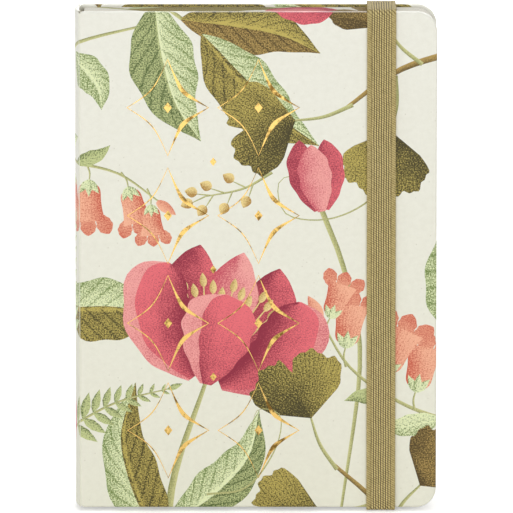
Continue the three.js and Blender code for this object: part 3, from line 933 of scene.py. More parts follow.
@dataclass(frozen=True)
class RuledPaper:
    """Uncoated ivory writing paper: dull, ruled for a week in seven rows beside a column, with no words."""

    paper: str = "#F4F0E4"
    rule: str = "#B3AD98"
    tint: str = "#DDE0C8"
    row: float = 22.5  # height of a day's row
    line: float = 0.28  # width of a rule
    margin: float = 40.0  # X of the line beside the column
    head: float = 167.0  # Z over which the paper is tinted
    fibre: float = 0.6
    roughness: float = 0.9

    def dress(self) -> bpy.types.Material:
        """Builds the material from places on the page."""
        material, add = new_material("ruled_writing_paper")
        spot = add("TexCoord").outputs["Object"]
        place = add("SeparateXYZ", [spot]).outputs
        half = self.line / self.row / 2
        rows = add("Math", [place["Z"], 1 / (self.row * MM), -0.35], operation="MULTIPLY_ADD").outputs[0]
        rows = add("Math", [rows, 0.5], operation="PINGPONG").outputs[0]
        rules = add("MapRange", [rows, half, half * 1.6, 1.0, 0.0]).outputs[0]
        small = add("Math", [place["Z"], 1 / (self.row / 3 * MM), -1.05], operation="MULTIPLY_ADD").outputs[0]
        small = add("Math", [small, 0.5], operation="PINGPONG").outputs[0]
        thin = add("MapRange", [small, half, half * 2.6, 0.35, 0.0]).outputs[0]
        ruled = add("Math", [rules, thin], operation="MAXIMUM").outputs[0]
        margin = add("Math", [place["X"], self.margin * MM], operation="SUBTRACT").outputs[0]
        margin = add("Math", [margin], operation="ABSOLUTE").outputs[0]
        column = add("MapRange", [margin, 0.12 * MM, 0.24 * MM, 0.8, 0.0]).outputs[0]
        ruled = add("Math", [ruled, column], operation="MAXIMUM").outputs[0]
        head = add("Math", [place["Z"], self.head * MM], operation="GREATER_THAN").outputs[0]
        head = add("Math", [head, 0.55], operation="MULTIPLY").outputs[0]
        sheet = add(
            "Mix", {SHARE: head, FIRST: linear(self.paper), SECOND: linear(self.tint)}, data_type="RGBA"
        ).outputs[MIXED]
        colour = add(
            "Mix", {SHARE: ruled, FIRST: sheet, SECOND: linear(self.rule)}, data_type="RGBA"
        ).outputs[MIXED]
        fibre = add(
            "TexNoise", {"Vector": spot, "Scale": 1 / (self.fibre * MM), "Detail": 4.0}
        ).outputs["Fac"]
        bump = add("Bump", {"Height": fibre, "Strength": 0.15, "Distance": 0.02 * MM}).outputs["Normal"]
        surface = add(
            "BsdfPrincipled", {"Base Color": colour, "Roughness": self.roughness, "Normal": bump}
        ).outputs["BSDF"]
        add("OutputMaterial", {"Surface": surface})
        return material


@dataclass(frozen=True)
class FibreStock:
    """Paper or board pressed from fibres, for endpapers, boards and lining: matt, clouded by its fibres."""

    name: str
    colour: str
    dark: str
    fibre: float  # length of a fibre clump in millimetres
    bump: float  # height of the fibres in millimetres
    roughness: float

    def dress(self) -> bpy.types.Material:
        """Builds the material from clouds of fibres."""
        material, add = new_material(self.name)
        spot = add("TexCoord").outputs["Object"]
        clump = add(
            "TexNoise", {"Vector": spot, "Scale": 1 / (self.fibre * MM), "Detail": 5.0, "Distortion": 0.6}
        ).outputs["Fac"]
        amount = add("MapRange", [clump, 0.3, 0.75]).outputs[0]
        colour = add(
            "Mix", {SHARE: amount, FIRST: linear(self.colour), SECOND: linear(self.dark)}, data_type="RGBA"
        ).outputs[MIXED]
        bump = add("Bump", {"Height": clump, "Strength": 0.4, "Distance": self.bump * MM}).outputs["Normal"]
        surface = add(
            "BsdfPrincipled", {"Base Color": colour, "Roughness": self.roughness, "Normal": bump}
        ).outputs["BSDF"]
        add("OutputMaterial", {"Surface": surface})
        return material


@dataclass(frozen=True)
class StarchedGauze:
    """Open plain-woven cotton gauze, stiff with starch: a grid of threads with darker gaps."""

    thread: str = "#E8E3D4"
    gap: str = "#A79C85"
    pitch: float = 1.1  # thread spacing
    roughness: float = 0.95

    def dress(self) -> bpy.types.Material:
        """Builds the material from two crossed sets of threads."""
        material, add = new_material("starched_cotton_gauze")
        place = add("SeparateXYZ", [add("TexCoord").outputs["Object"]]).outputs
        sets = []
        for axis in ("Y", "Z"):
            across = add("Math", [place[axis], 1 / (self.pitch * MM)], operation="MULTIPLY").outputs[0]
            sets.append(add("Math", [across, 0.5], operation="PINGPONG").outputs[0])
        height = add("Math", sets, operation="MAXIMUM").outputs[0]
        cover = add("MapRange", [height, 0.28, 0.36]).outputs[0]
        colour = add(
            "Mix", {SHARE: cover, FIRST: linear(self.gap), SECOND: linear(self.thread)}, data_type="RGBA"
        ).outputs[MIXED]
        bump = add("Bump", {"Height": height, "Strength": 0.6, "Distance": 0.15 * MM}).outputs["Normal"]
        surface = add(
            "BsdfPrincipled", {"Base Color": colour, "Roughness": self.roughness, "Normal": bump}
        ).outputs["BSDF"]
        add("OutputMaterial", {"Surface": surface})
        return material


@dataclass(frozen=True)
class WovenElastic:
    """Polyester-covered rubber cords woven side by side: matt ribs with a fine dotted weave, with painted
    highlights and shade on the stitches and painted shade in the grooves.
    """

    # painted light and shade: crest is a painted highlight on the stitches, side their painted shade, groove
    # the painted shade between the cords
    crest: str = "#E4D092"
    side: str = "#786730"
    groove: str = "#2E2208"
    pick: float = 0.85  # length of one woven stitch, half as long again as the real one so that it shows
    wander: float = 0.35  # how far a cord strays to each side, in cords: handling has pulled them out of line
    roughness: float = 0.78
    sheen: float = 0.05

    def dress(self, cords: int, ribbed: float) -> bpy.types.Material:
        """Builds the material from places on the band.

        Args:
            cords: how many cords lie side by side.
            ribbed: width that they take up, in millimetres.

        Returns:
            The material.
        """
        material, add = new_material("woven_corded_elastic")
        spot = add("Attribute", attribute_name="weave_mm").outputs["Vector"]
        place = add("SeparateXYZ", [spot]).outputs
        # ribs: painted shade in the grooves between the cords, and none in the flat selvedge past them
        stray = add("TexNoise", {"Vector": spot, "Scale": 0.09, "Detail": 3.0}).outputs["Fac"]
        stray = add("MapRange", [stray, 0.0, 1.0, -self.wander, self.wander]).outputs[0]
        cord = add("Math", [place["X"], cords / ribbed, stray], operation="MULTIPLY_ADD").outputs[0]
        ridge = add("Math", [cord, 0.5], operation="PINGPONG").outputs[0]
        ridge = add("MapRange", [ridge, 0.04, 0.24], interpolation_type="SMOOTHSTEP").outputs[0]
        aside = add("Math", [place["X"]], operation="ABSOLUTE").outputs[0]
        margin = add("MapRange", [aside, ribbed / 2 - 0.05, ribbed / 2 + 0.1]).outputs[0]
        ridge = add("Math", [ridge, margin], operation="MAXIMUM").outputs[0]
        # weave: slanting stitches, each painted with a lit crest and a shaded side, fainter in the selvedge,
        # with stray fibres over them
        slant = add("Math", [place["X"], 0.55, place["Y"]], operation="MULTIPLY_ADD").outputs[0]
        pick = add("Math", [slant, 1 / self.pick], operation="MULTIPLY").outputs[0]
        pick = add("Math", [pick, 0.5], operation="PINGPONG").outputs[0]
        stitch = add("MapRange", [pick, 0.06, 0.34]).outputs[0]
        plain = add("MapRange", [margin, 0.0, 1.0, 1.0, 0.6]).outputs[0]
        stitch = add("Math", [stitch, plain], operation="MULTIPLY").outputs[0]
        fuzz = add("TexNoise", {"Vector": spot, "Scale": 1.6, "Detail": 4.0, "Roughness": 0.75})
        mixed = add("Math", [stitch, 0.55, fuzz.outputs["Fac"]], operation="MULTIPLY_ADD").outputs[0]
        mixed = add("MapRange", [mixed, 0.42, 1.12]).outputs[0]
        yarn_lit_and_shaded = add(
            "Mix", {SHARE: mixed, FIRST: linear(self.side), SECOND: linear(self.crest)}, data_type="RGBA"
        ).outputs[MIXED]
        # painted shade: the groove colour fills the gaps between the cords
        colour = add(
            "Mix", {SHARE: ridge, FIRST: linear(self.groove), SECOND: yarn_lit_and_shaded}, data_type="RGBA"
        ).outputs[MIXED]
        height = add("Math", [ridge, 0.5, mixed], operation="MULTIPLY_ADD").outputs[0]
        bump = add("Bump", {"Height": height, "Strength": 0.7, "Distance": 0.08 * MM}).outputs["Normal"]
        surface = add(
            "BsdfPrincipled",
            {"Base Color": colour, "Roughness": self.roughness, "Sheen Weight": self.sheen, "Normal": bump},
        ).outputs["BSDF"]
        add("OutputMaterial", {"Surface": surface})
        return material


@dataclass(frozen=True)
class StampedFoil:
    """Hot-stamped gold foil: mirror-like metal, slightly mottled by the paper under it, with patches of
    painted dark reflection.
    """

    colour: str = "#DFBA6C"
    # painted reflection: deep is the dark colour of those patches
    deep: str = "#5C4116"
    unevenness: float = 1.2
    shadow: float = 3.5  # width of the patches of painted dark reflection, where the gold reflects less
    roughness: float = 0.22

    def dress(self) -> bpy.types.Material:
        """Builds the material with a fine unevenness."""
        material, add = new_material("hot_stamped_gold_foil")
        spot = add("TexCoord").outputs["Object"]
        mottle = add(
            "TexNoise", {"Vector": spot, "Scale": 1 / (self.unevenness * MM), "Detail": 2.0}
        ).outputs["Fac"]
        rough = add("MapRange", [mottle, 0.0, 1.0, self.roughness - 0.06, self.roughness + 0.1]).outputs[0]
        bump = add("Bump", {"Height": mottle, "Strength": 0.25, "Distance": 0.05 * MM}).outputs["Normal"]
        # painted reflection: patches where the gold is painted darker, standing in for reflected dark
        # surroundings
        pressed = add(
            "TexNoise", {"Vector": spot, "Scale": 1 / (self.shadow * MM), "Detail": 4.0, "Roughness": 0.7}
        ).outputs["Fac"]
        pressed = add("MapRange", [pressed, 0.47, 0.62, 0.0, 0.9]).outputs[0]
        colour = add(
            "Mix", {SHARE: pressed, FIRST: linear(self.colour), SECOND: linear(self.deep)}, data_type="RGBA"
        ).outputs[MIXED]
        surface = add(
            "BsdfPrincipled", {"Base Color": colour, "Metallic": 1.0, "Roughness": rough, "Normal": bump}
        ).outputs["BSDF"]
        add("OutputMaterial", {"Surface": surface})
        return material


class Panel:
    """One panel of the case's printed sheet, drawn flat on the sheet and then folded to its shape."""

    name: str
    body: str
    node: str
    edge_round: float  # radius of the paper at the edge
    wall: float  # length of paper between the two quarter turns there
    round_steps: int = 4

    @property
    def bend(self) -> float:
        """Length of paper in a quarter turn at the edge."""
        return self.edge_round * math.pi / 2

    @property
    def over(self) -> float:
        """Length of paper from the flat face round the edge to the inner face."""
        return 2 * self.bend + self.wall

    def border(self) -> np.ndarray:
        """Outline of the flat panel on the sheet."""
        raise NotImplementedError

    def creases(self) -> list[np.ndarray]:
        """Lines on the flat panel along which it bends."""
        raise NotImplementedError

    def holes(self) -> list[np.ndarray]:
        """Outlines of what is cut out of the panel."""
        return []

    def fold(self, sheet: np.ndarray) -> tuple[np.ndarray, np.ndarray]:
        """Folds flat points.

        Args:
            sheet: places on the sheet.

        Returns:
            Their places on the planner and their outward directions.
        """
        raise NotImplementedError

    def edge_creases(self) -> list[float]:
        """How far outside the flat face the creases of both quarter turns lie."""
        bends = np.linspace(0, self.bend, self.round_steps + 1)
        return list(bends) + list(self.bend + self.wall + bends)

    def round_edge(self, out: np.ndarray) -> tuple[np.ndarray, np.ndarray, np.ndarray]:
        """Follows the paper round the edge: a quarter turn, the wall, a quarter turn and the turn-in.

        Args:
            out: how far outside the flat face each point lies on the flat sheet.

        Returns:
            How far each stands out once folded, how deep it lies under the face, and its turn in radians.
        """
        r = self.edge_round
        first = np.clip(out, 0, self.bend) / r
        straight = np.clip(out - self.bend, 0, self.wall)
        second = np.clip(out - self.bend - self.wall, 0, self.bend) / r
        tucked = np.maximum(out - self.over, 0)
        aside = r * np.where(second > 0, np.cos(second), np.sin(first)) - tucked
        depth = r * (1 - np.cos(first)) + straight + r * np.sin(second)
        return np.where(out > 0, aside, 0), depth, first + second

    def build(self, pattern: Pattern, material: bpy.types.Material) -> None:
        """Cuts the panel out of the printed sheet, folds it and gives it its thickness.

        Args:
            pattern: what is printed on the sheet.
            material: the printed paper.
        """
        border, holes = self.border(), self.holes()
        low, high = border.min(0), border.max(0)
        lines = [(loop, True) for loop in (border, *holes)] + [(crease, False) for crease in self.creases()]
        for motif in pattern.motifs:
            if np.all(motif.outline.max(0) > low) and np.all(motif.outline.min(0) < high):
                lines.append((motif.outline, True))
        points: Line = []
        edges: list[tuple[int, int]] = []
        for line, closed in lines:
            first = len(points)
            points.extend(map(tuple, line))
            edges.extend((k, k + 1) for k in range(first, len(points) - 1))
            if closed:
                edges.append((len(points) - 1, first))
        made = delaunay_2d_cdt([Vector(p) for p in points], edges, [], 0, 1e-4, False)
        flat = np.array([tuple(p) for p in made[0]])
        triangles = np.array([f for f in made[2] if len(f) == 3])
        corners = flat[triangles]
        a, b = corners[:, 1] - corners[:, 0], corners[:, 2] - corners[:, 0]
        area = a[:, 0] * b[:, 1] - a[:, 1] * b[:, 0]
        triangles[area < 0] = triangles[area < 0][:, ::-1]
        middle = flat[triangles].mean(1)
        keep = inside(middle, border)
        for hole in holes:
            keep &= ~inside(middle, hole)
        triangles, middle = triangles[keep], middle[keep]
        used, triangles = np.unique(triangles, return_inverse=True)
        self.shell(flat[used], triangles.reshape(-1, 3), pattern, pattern.topmost(middle), material)

    def shell(
        self,
        flat: np.ndarray,
        triangles: np.ndarray,
        pattern: Pattern,
        shown: np.ndarray,
        material: bpy.types.Material,
    ) -> None:
        """Makes the folded sheet a closed shell with its inks as corner attributes.

        Args:
            flat: places on the sheet.
            triangles: three numbers of places each.
            pattern: what is printed on the sheet.
            shown: number of the shape that each triangle shows, or -1.
            material: the printed paper.
        """
        outer, normal = self.fold(flat)
        inner = outer - normal * SIZES.wrap_thickness
        count = len(flat)
        sides = np.concatenate([triangles[:, [0, 1]], triangles[:, [1, 2]], triangles[:, [2, 0]]])
        key = np.sort(sides, axis=1) @ np.array([count, 1])
        _, back, times = np.unique(key, return_inverse=True, return_counts=True)
        rim = sides[times[back.ravel()] == 1]
        rims = np.stack([rim[:, 1], rim[:, 0], rim[:, 0] + count, rim[:, 1] + count], 1)
        faces = list(triangles) + list(triangles[:, ::-1] + count) + list(rims)
        places = np.vstack([outer, inner])
        thing = mesh_object(self.name, places, faces, material)
        inks = pattern.inks(flat[triangles].reshape(-1, 2), np.repeat(shown, 3))
        for name, rows in inks.items():
            wide = rows.shape[1]
            mirrored = rows.reshape(-1, 3, wide)[:, ::-1].reshape(-1, wide)
            plain = np.zeros((rims.size, wide))
            if name == "sheet_mm":
                plain[:, :2] = flat[rims % count].reshape(-1, 2)
            store(thing.data, name, "CORNER", np.vstack([rows, mirrored, plain]))
        turned = -normal[triangles[:, ::-1]].reshape(-1, 3)
        square = np.cross(places[rims[:, 1]] - places[rims[:, 0]], places[rims[:, 3]] - places[rims[:, 0]])
        square /= np.linalg.norm(square, axis=1)[:, None] + 1e-12
        normals = np.vstack([normal[triangles].reshape(-1, 3), turned, np.repeat(square, 4, axis=0)])
        thing.data.shade_smooth()
        thing.data.normals_split_custom_set(normals.tolist())
        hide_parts(self.node)
        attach(thing, self.body)
        LOG.info("%s: %d faces", self.name, len(faces))


class Side(Enum):
    """The two covers."""

    FRONT = "front"
    BACK = "back"


@dataclass
class CoverPanel(Panel):
    """The printed paper round one board: over its outer face, round its edges and in over three of them."""

    side: Side
    fore_steps: int = 14
    spine_steps: int = 6
    fore_mitre: float = 0.35  # how much the turned-in paper is cut back at a fore-edge corner
    spine_mitre: float = 0.15  # how much it is cut back at a spine corner
    spoke_gap: float = 0.05  # how far short of the mitred border the creases of a corner stop

    def __post_init__(self) -> None:
        """Names the panel and works out its places."""
        self.name = f"{self.side.value}_cover_paper"
        self.body = f"{self.side.value}_cover"
        self.node = f"wrap_{self.side.value}"
        self.edge_round = r = SIZES.edge_round
        self.wall = SIZES.case_thickness - 2 * r
        self.tuck = SIZES.turn_in - r
        self.low = np.array([SIZES.shoulder_x + r, SIZES.tail_z + r])
        self.high = np.array([SIZES.fore_x - r, SIZES.head_z - r])
        self.fore_round = SIZES.fore_corner - r
        self.spine_round = SIZES.spine_corner - r
        fore_x, spine_x = self.high[0] - self.fore_round, self.low[0] + self.spine_round
        fore = (self.fore_round, self.fore_steps, self.over + self.fore_round - self.fore_mitre)
        spine = (self.spine_round, self.spine_steps, self.over + self.spine_round - self.spine_mitre)
        # each round corner: its centre, its angles, its radius, its steps and how far it is mitred
        self.corners = (
            ((fore_x, self.high[1] - self.fore_round), (90, 0), *fore),
            ((fore_x, self.low[1] + self.fore_round), (0, -90), *fore),
            ((spine_x, self.low[1] + self.spine_round), (270, 180), *spine),
            ((spine_x, self.high[1] - self.spine_round), (180, 90), *spine),
        )

    def mirror(self, places: np.ndarray) -> np.ndarray:
        """Moves X and Z on the cover to the sheet or back: the back cover lies past the spine."""
        if self.side is Side.FRONT:
            return places
        return np.stack([2 * SIZES.shoulder_x - SIZES.spine_arc - places[:, 0], places[:, 1]], 1)

    def to_sheet(self, places: Line) -> np.ndarray:
        """Moves a line on the cover to the sheet, where a loop runs anticlockwise."""
        p = self.mirror(np.asarray(places, float))
        return p if len(p) < 3 or signed_area(p) > 0 else p[::-1]

    def border(self) -> np.ndarray:
        """Outline of the flat paper, mitred where two turned-in edges meet."""
        (left, bottom), (right, top) = self.low, self.high
        arcs = [
            arc_points(centre, radius + mitre, *angles, steps)
            for centre, angles, radius, steps, mitre in self.corners
        ]
        spine_x, deep, far = self.corners[2][0][0], self.tuck, self.over + self.tuck
        tab, fold = self.over + self.spine_round - self.spine_mitre, self.over
        loop = [(spine_x, top + far), (right - deep, top + far)]
        loop += [(self.corners[0][0][0], top + self.corners[0][4])] + arcs[0]
        loop += [(right + far, top - deep), (right + far, bottom + deep)] + arcs[1]
        loop += [(right - deep, bottom - far), (spine_x, bottom - far)] + arcs[2]
        loop += [(left - tab, bottom + deep), (left - fold, bottom + deep)]
        loop += [(left - fold, top - deep), (left - tab, top - deep)] + arcs[3]
        return self.to_sheet(loop)

    def creases(self) -> list[np.ndarray]:
        """Rings round the flat face at each step of the bends, and spokes across the round corners."""
        lines = []
        for out in self.edge_creases():
            loop: Line = []
            for centre, angles, radius, steps, _ in self.corners:
                loop += arc_points(centre, radius + out, *angles, steps)
            lines.append(self.to_sheet(loop + loop[:1]))
        for centre, angles, radius, steps, mitre in self.corners:
            near = arc_points(centre, radius, *angles, steps)
            away = arc_points(centre, radius + mitre - self.spoke_gap, *angles, steps)
            lines += [self.to_sheet([a, b]) for a, b in zip(near, away)]
        return lines

    def holes(self) -> list[np.ndarray]:
        """The two slots in the back cover that the elastic's ends go through."""
        if self.side is Side.FRONT:
            return []
        half_x, half_z = SIZES.elastic_width / 2 + SIZES.slot_side, SIZES.slot_height / 2
        low_x, high_x = SIZES.elastic_x - half_x, SIZES.elastic_x + half_x
        slots = []
        for z in (SIZES.slot_z(False), SIZES.slot_z(True)):
            low_z, high_z = z - half_z, z + half_z
            slots.append(self.to_sheet([(low_x, low_z), (high_x, low_z), (high_x, high_z), (low_x, high_z)]))
        return slots

    def fold(self, sheet: np.ndarray) -> tuple[np.ndarray, np.ndarray]:
        """Folds the paper over the board's edges and in against its inner face."""
        p = self.mirror(sheet)
        past, short = p - self.high, self.low - p
        gaps = np.stack([past[:, 0], short[:, 0], past[:, 1], short[:, 1]], 1)
        which = np.argmax(gaps, axis=1)
        out = gaps[np.arange(len(p)), which]
        ways = np.array([(1, 0), (-1, 0), (0, 1), (0, -1)], float)[which]
        # at a round corner the paper folds away from the corner's centre
        fore = p[:, 0] > SIZES.fore_x - SIZES.fore_corner
        spine_x = self.low[0] + self.spine_round
        upper = p[:, 1] > (self.low[1] + self.high[1]) / 2
        radius = np.where(fore, self.fore_round, self.spine_round)
        centre_x = np.where(fore, self.high[0] - self.fore_round, spine_x)
        centre_z = np.where(upper, self.high[1] - radius, self.low[1] + radius)
        away = np.stack([p[:, 0] - centre_x, p[:, 1] - centre_z], 1)
        past_x = np.where(fore, away[:, 0] > 0, away[:, 0] < 0) & (fore | (p[:, 0] < spine_x))
        past_z = np.where(upper, away[:, 1] > 0, away[:, 1] < 0)
        size = np.linalg.norm(away, axis=1)
        cornered = past_x & past_z & (size > 1e-9)
        out = np.where(cornered, size - radius, out)
        ways = np.where(cornered[:, None], away / np.maximum(size, 1e-9)[:, None], ways)
        foot = p - ways * np.maximum(out, 0)[:, None]
        aside, depth, turned = self.round_edge(out)
        place = foot + ways * aside[:, None]
        outward = ways * np.sin(turned)[:, None]
        sign = 1 if self.side is Side.FRONT else -1
        y, normal_y = sign * (SIZES.front_y + depth), -sign * np.cos(turned)
        places = np.stack([place[:, 0], y, place[:, 1]], 1)
        return places, np.stack([outward[:, 0], normal_y, outward[:, 1]], 1)


@dataclass
class SpinePanel(Panel):
    """The printed paper over the rounded spine, turned in over its card at the head and the tail."""

    edge_round: float = 0.5
    arc_steps: int = 28
    shoulder_turn: float = 60.0  # degrees that the ends turn before their flaps narrow to the card

    def __post_init__(self) -> None:
        """Names the panel and works out its places on the sheet."""
        self.name, self.body, self.node = "spine_paper_panel", "block", "wrap_spine"
        self.wall = SIZES.spine_depth - 2 * self.edge_round
        self.shoulder = self.edge_round * math.radians(self.shoulder_turn)
        self.right = SIZES.shoulder_x - SIZES.spine_joint
        self.half_width = SIZES.spine_radius * SIZES.spine_turn
        self.middle = self.right - self.half_width
        self.left = self.right - 2 * self.half_width
        self.top = SIZES.head_z - self.edge_round
        self.bottom = SIZES.tail_z + self.edge_round
        self.reach = self.over + SIZES.spine_turn_in - self.edge_round

    def border(self) -> np.ndarray:
        """Outline of the flat paper: a panel with a narrower flap at each end."""
        half, step, end = SIZES.block_half, self.top + self.shoulder, self.top + self.reach
        up = [(self.right, step), (self.middle + half, step), (self.middle + half, end)]
        up += [(self.middle - half, end), (self.middle - half, step), (self.left, step)]
        down = [(2 * self.middle - u, self.bottom + self.top - v) for u, v in up]
        return np.array(up + down)

    def creases(self) -> list[np.ndarray]:
        """Upright lines round the spine, and lines across it at each step of the bends."""
        lines = []
        for u in np.linspace(self.left, self.right, self.arc_steps + 1)[1:-1]:
            out = self.reach if abs(u - self.middle) < SIZES.block_half else self.shoulder
            out -= 0.01  # just short of the border
            lines.append(np.array([(u, self.bottom - out), (u, self.top + out)]))
        for out in self.edge_creases():
            half = self.half_width if out < self.shoulder else SIZES.block_half
            for v in (self.top + out, self.bottom - out):
                lines.append(np.array([(self.middle - half, v), (self.middle + half, v)]))
        return lines

    def fold(self, sheet: np.ndarray) -> tuple[np.ndarray, np.ndarray]:
        """Rounds the paper over the spine and turns its ends in."""
        turn = (self.right - sheet[:, 0]) / SIZES.spine_radius - SIZES.spine_turn
        over, under = sheet[:, 1] - self.top, self.bottom - sheet[:, 1]
        sign = np.where(over > under, 1.0, -1.0)
        rise, depth, tilt = self.round_edge(np.maximum(over, under))
        foot = np.clip(sheet[:, 1], self.bottom, self.top)
        radius = SIZES.spine_radius - depth
        x = SIZES.spine_centre_x - radius * np.cos(turn)
        place = np.stack([x, radius * np.sin(turn), foot + sign * rise], 1)
        flat = np.cos(tilt)
        return place, np.stack([-np.cos(turn) * flat, np.sin(turn) * flat, sign * np.sin(tilt)], 1)


@dataclass
class PageBlock:
    """Ten sections of folded sheets whose trimmed edges carry the cover's print."""

    edge_step: float = 0.45  # between two stations on a straight edge
    corner_step: float = 5.0  # in degrees
    rows: tuple[float, ...] = (-1.0, -0.55, 0.0, 0.55, 1.0)  # from a section's front face to its back
    fold_depth: float = 0.5  # how far the round of a section's fold stands out
    fold_stations: int = 5
    paper: str = "#F2EEE0"

    def corner(self, x: float, z: float, radius: float, start: int) -> list[tuple[float, ...]]:
        """A quarter round from an angle in degrees, as places and outward directions in X and Z."""
        angles = np.radians(np.arange(start, start + 90, self.corner_step))
        ways = [(math.cos(a), math.sin(a)) for a in angles]
        return [(x + radius * way_x, z + radius * way_z, way_x, way_z) for way_x, way_z in ways]

    def outline(self) -> tuple[np.ndarray, np.ndarray]:
        """The trimmed outline of a page from the spine at the tail round to the spine at the head.

        Returns:
            Its places in X and Z and its outward directions.
        """
        left, right = SIZES.block_spine_x + self.fold_depth, SIZES.fore_x - SIZES.square
        bottom, top = SIZES.tail_z + SIZES.square, SIZES.head_z - SIZES.square
        radius = SIZES.fore_corner - SIZES.square
        turn, low, high = right - radius, bottom + radius, top - radius
        level, upright = int((turn - left) / self.edge_step), int((high - low) / self.edge_step)
        points = [(x, bottom, 0, -1) for x in np.linspace(left, turn, level)[:-1]]
        points += self.corner(turn, low, radius, -90)
        points += [(right, z, 1, 0) for z in np.linspace(low, high, upright)[:-1]]
        points += self.corner(turn, high, radius, 0)
        points += [(x, top, 0, 1) for x in np.linspace(turn, left, level)]
        rows = np.array(points)
        return rows[:, :2], rows[:, 2:]

    def tint(self, pattern: Pattern, places: np.ndarray) -> np.ndarray:
        """Colour of the print at places on the sheet, for the page edges.

        Args:
            pattern: what is printed.
            places: places on the sheet.

        Returns:
            One linear colour per place.
        """
        colours = np.tile(linear(self.paper), (len(places), 1))
        for motif, here, along, across in pattern.charted(places, pattern.topmost(places)):
            tone = motif.tone
            depth = tone.base + tone.side * across + tone.tip * along + tone.rim * across**2
            depth = np.clip((depth + 0.3) / 1.5, 0, 1)[:, None]  # about as the cover's material ranges it
            light, dark = np.array(linear(motif.ink.value.light)), np.array(linear(motif.ink.value.dark))
            colours[here] = light * (1 - depth) + dark * depth
        return colours

    def build(self, pattern: Pattern, edge: bpy.types.Material, face: bpy.types.Material) -> None:
        """Builds every section.

        Args:
            pattern: what is printed over the edges.
            edge: material of the trimmed edges.
            face: material of the pages.
        """
        places, ways = self.outline()
        total = len(places) + self.fold_stations
        faces = tube_faces(len(self.rows), total)
        heights = np.linspace(places[-1, 1], places[0, 1], self.fold_stations)
        bodies = {
            name: body for body, names in frame["record"]["behaviour"]["bodies"].items() for name in names
        }
        for index in range(SIZES.section_count):
            name = f"section_{index + 1:02d}"
            y_front = SIZES.first_section_y + index * SIZES.section_pitch
            vertices, sheet = [], []
            for row in self.rows:
                y = y_front + SIZES.section_thickness * (row + 1) / 2
                spine_x = SIZES.block_spine_x + self.fold_depth * (1 - math.sqrt(max(0.0, 1 - row * row)))
                folds = np.stack([np.full(len(heights), spine_x), heights], 1)
                ring = np.vstack([places, folds])
                vertices.append(np.stack([ring[:, 0], np.full(total, y), ring[:, 1]], 1))
                sheet.append(np.vstack([places + ways * (y - SIZES.front_y), folds]))
            block = mesh_object(f"{name}_leaves", np.vstack(vertices), faces, edge)
            face_out(block.data)
            block.data.materials.append(face)
            for k, polygon in enumerate(block.data.polygons):
                polygon.use_smooth = k < len(faces) - 2
                polygon.material_index = 0 if polygon.use_smooth else 1
            store(block.data, "edge_print", "POINT", self.tint(pattern, np.vstack(sheet)))
            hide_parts(name)
            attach(block, bodies[name])
        LOG.info("page block: %d sections of %d stations", SIZES.section_count, len(places))


Station = tuple[float, float, float, float]  # Y and Z of the elastic's inner face, and its outward direction


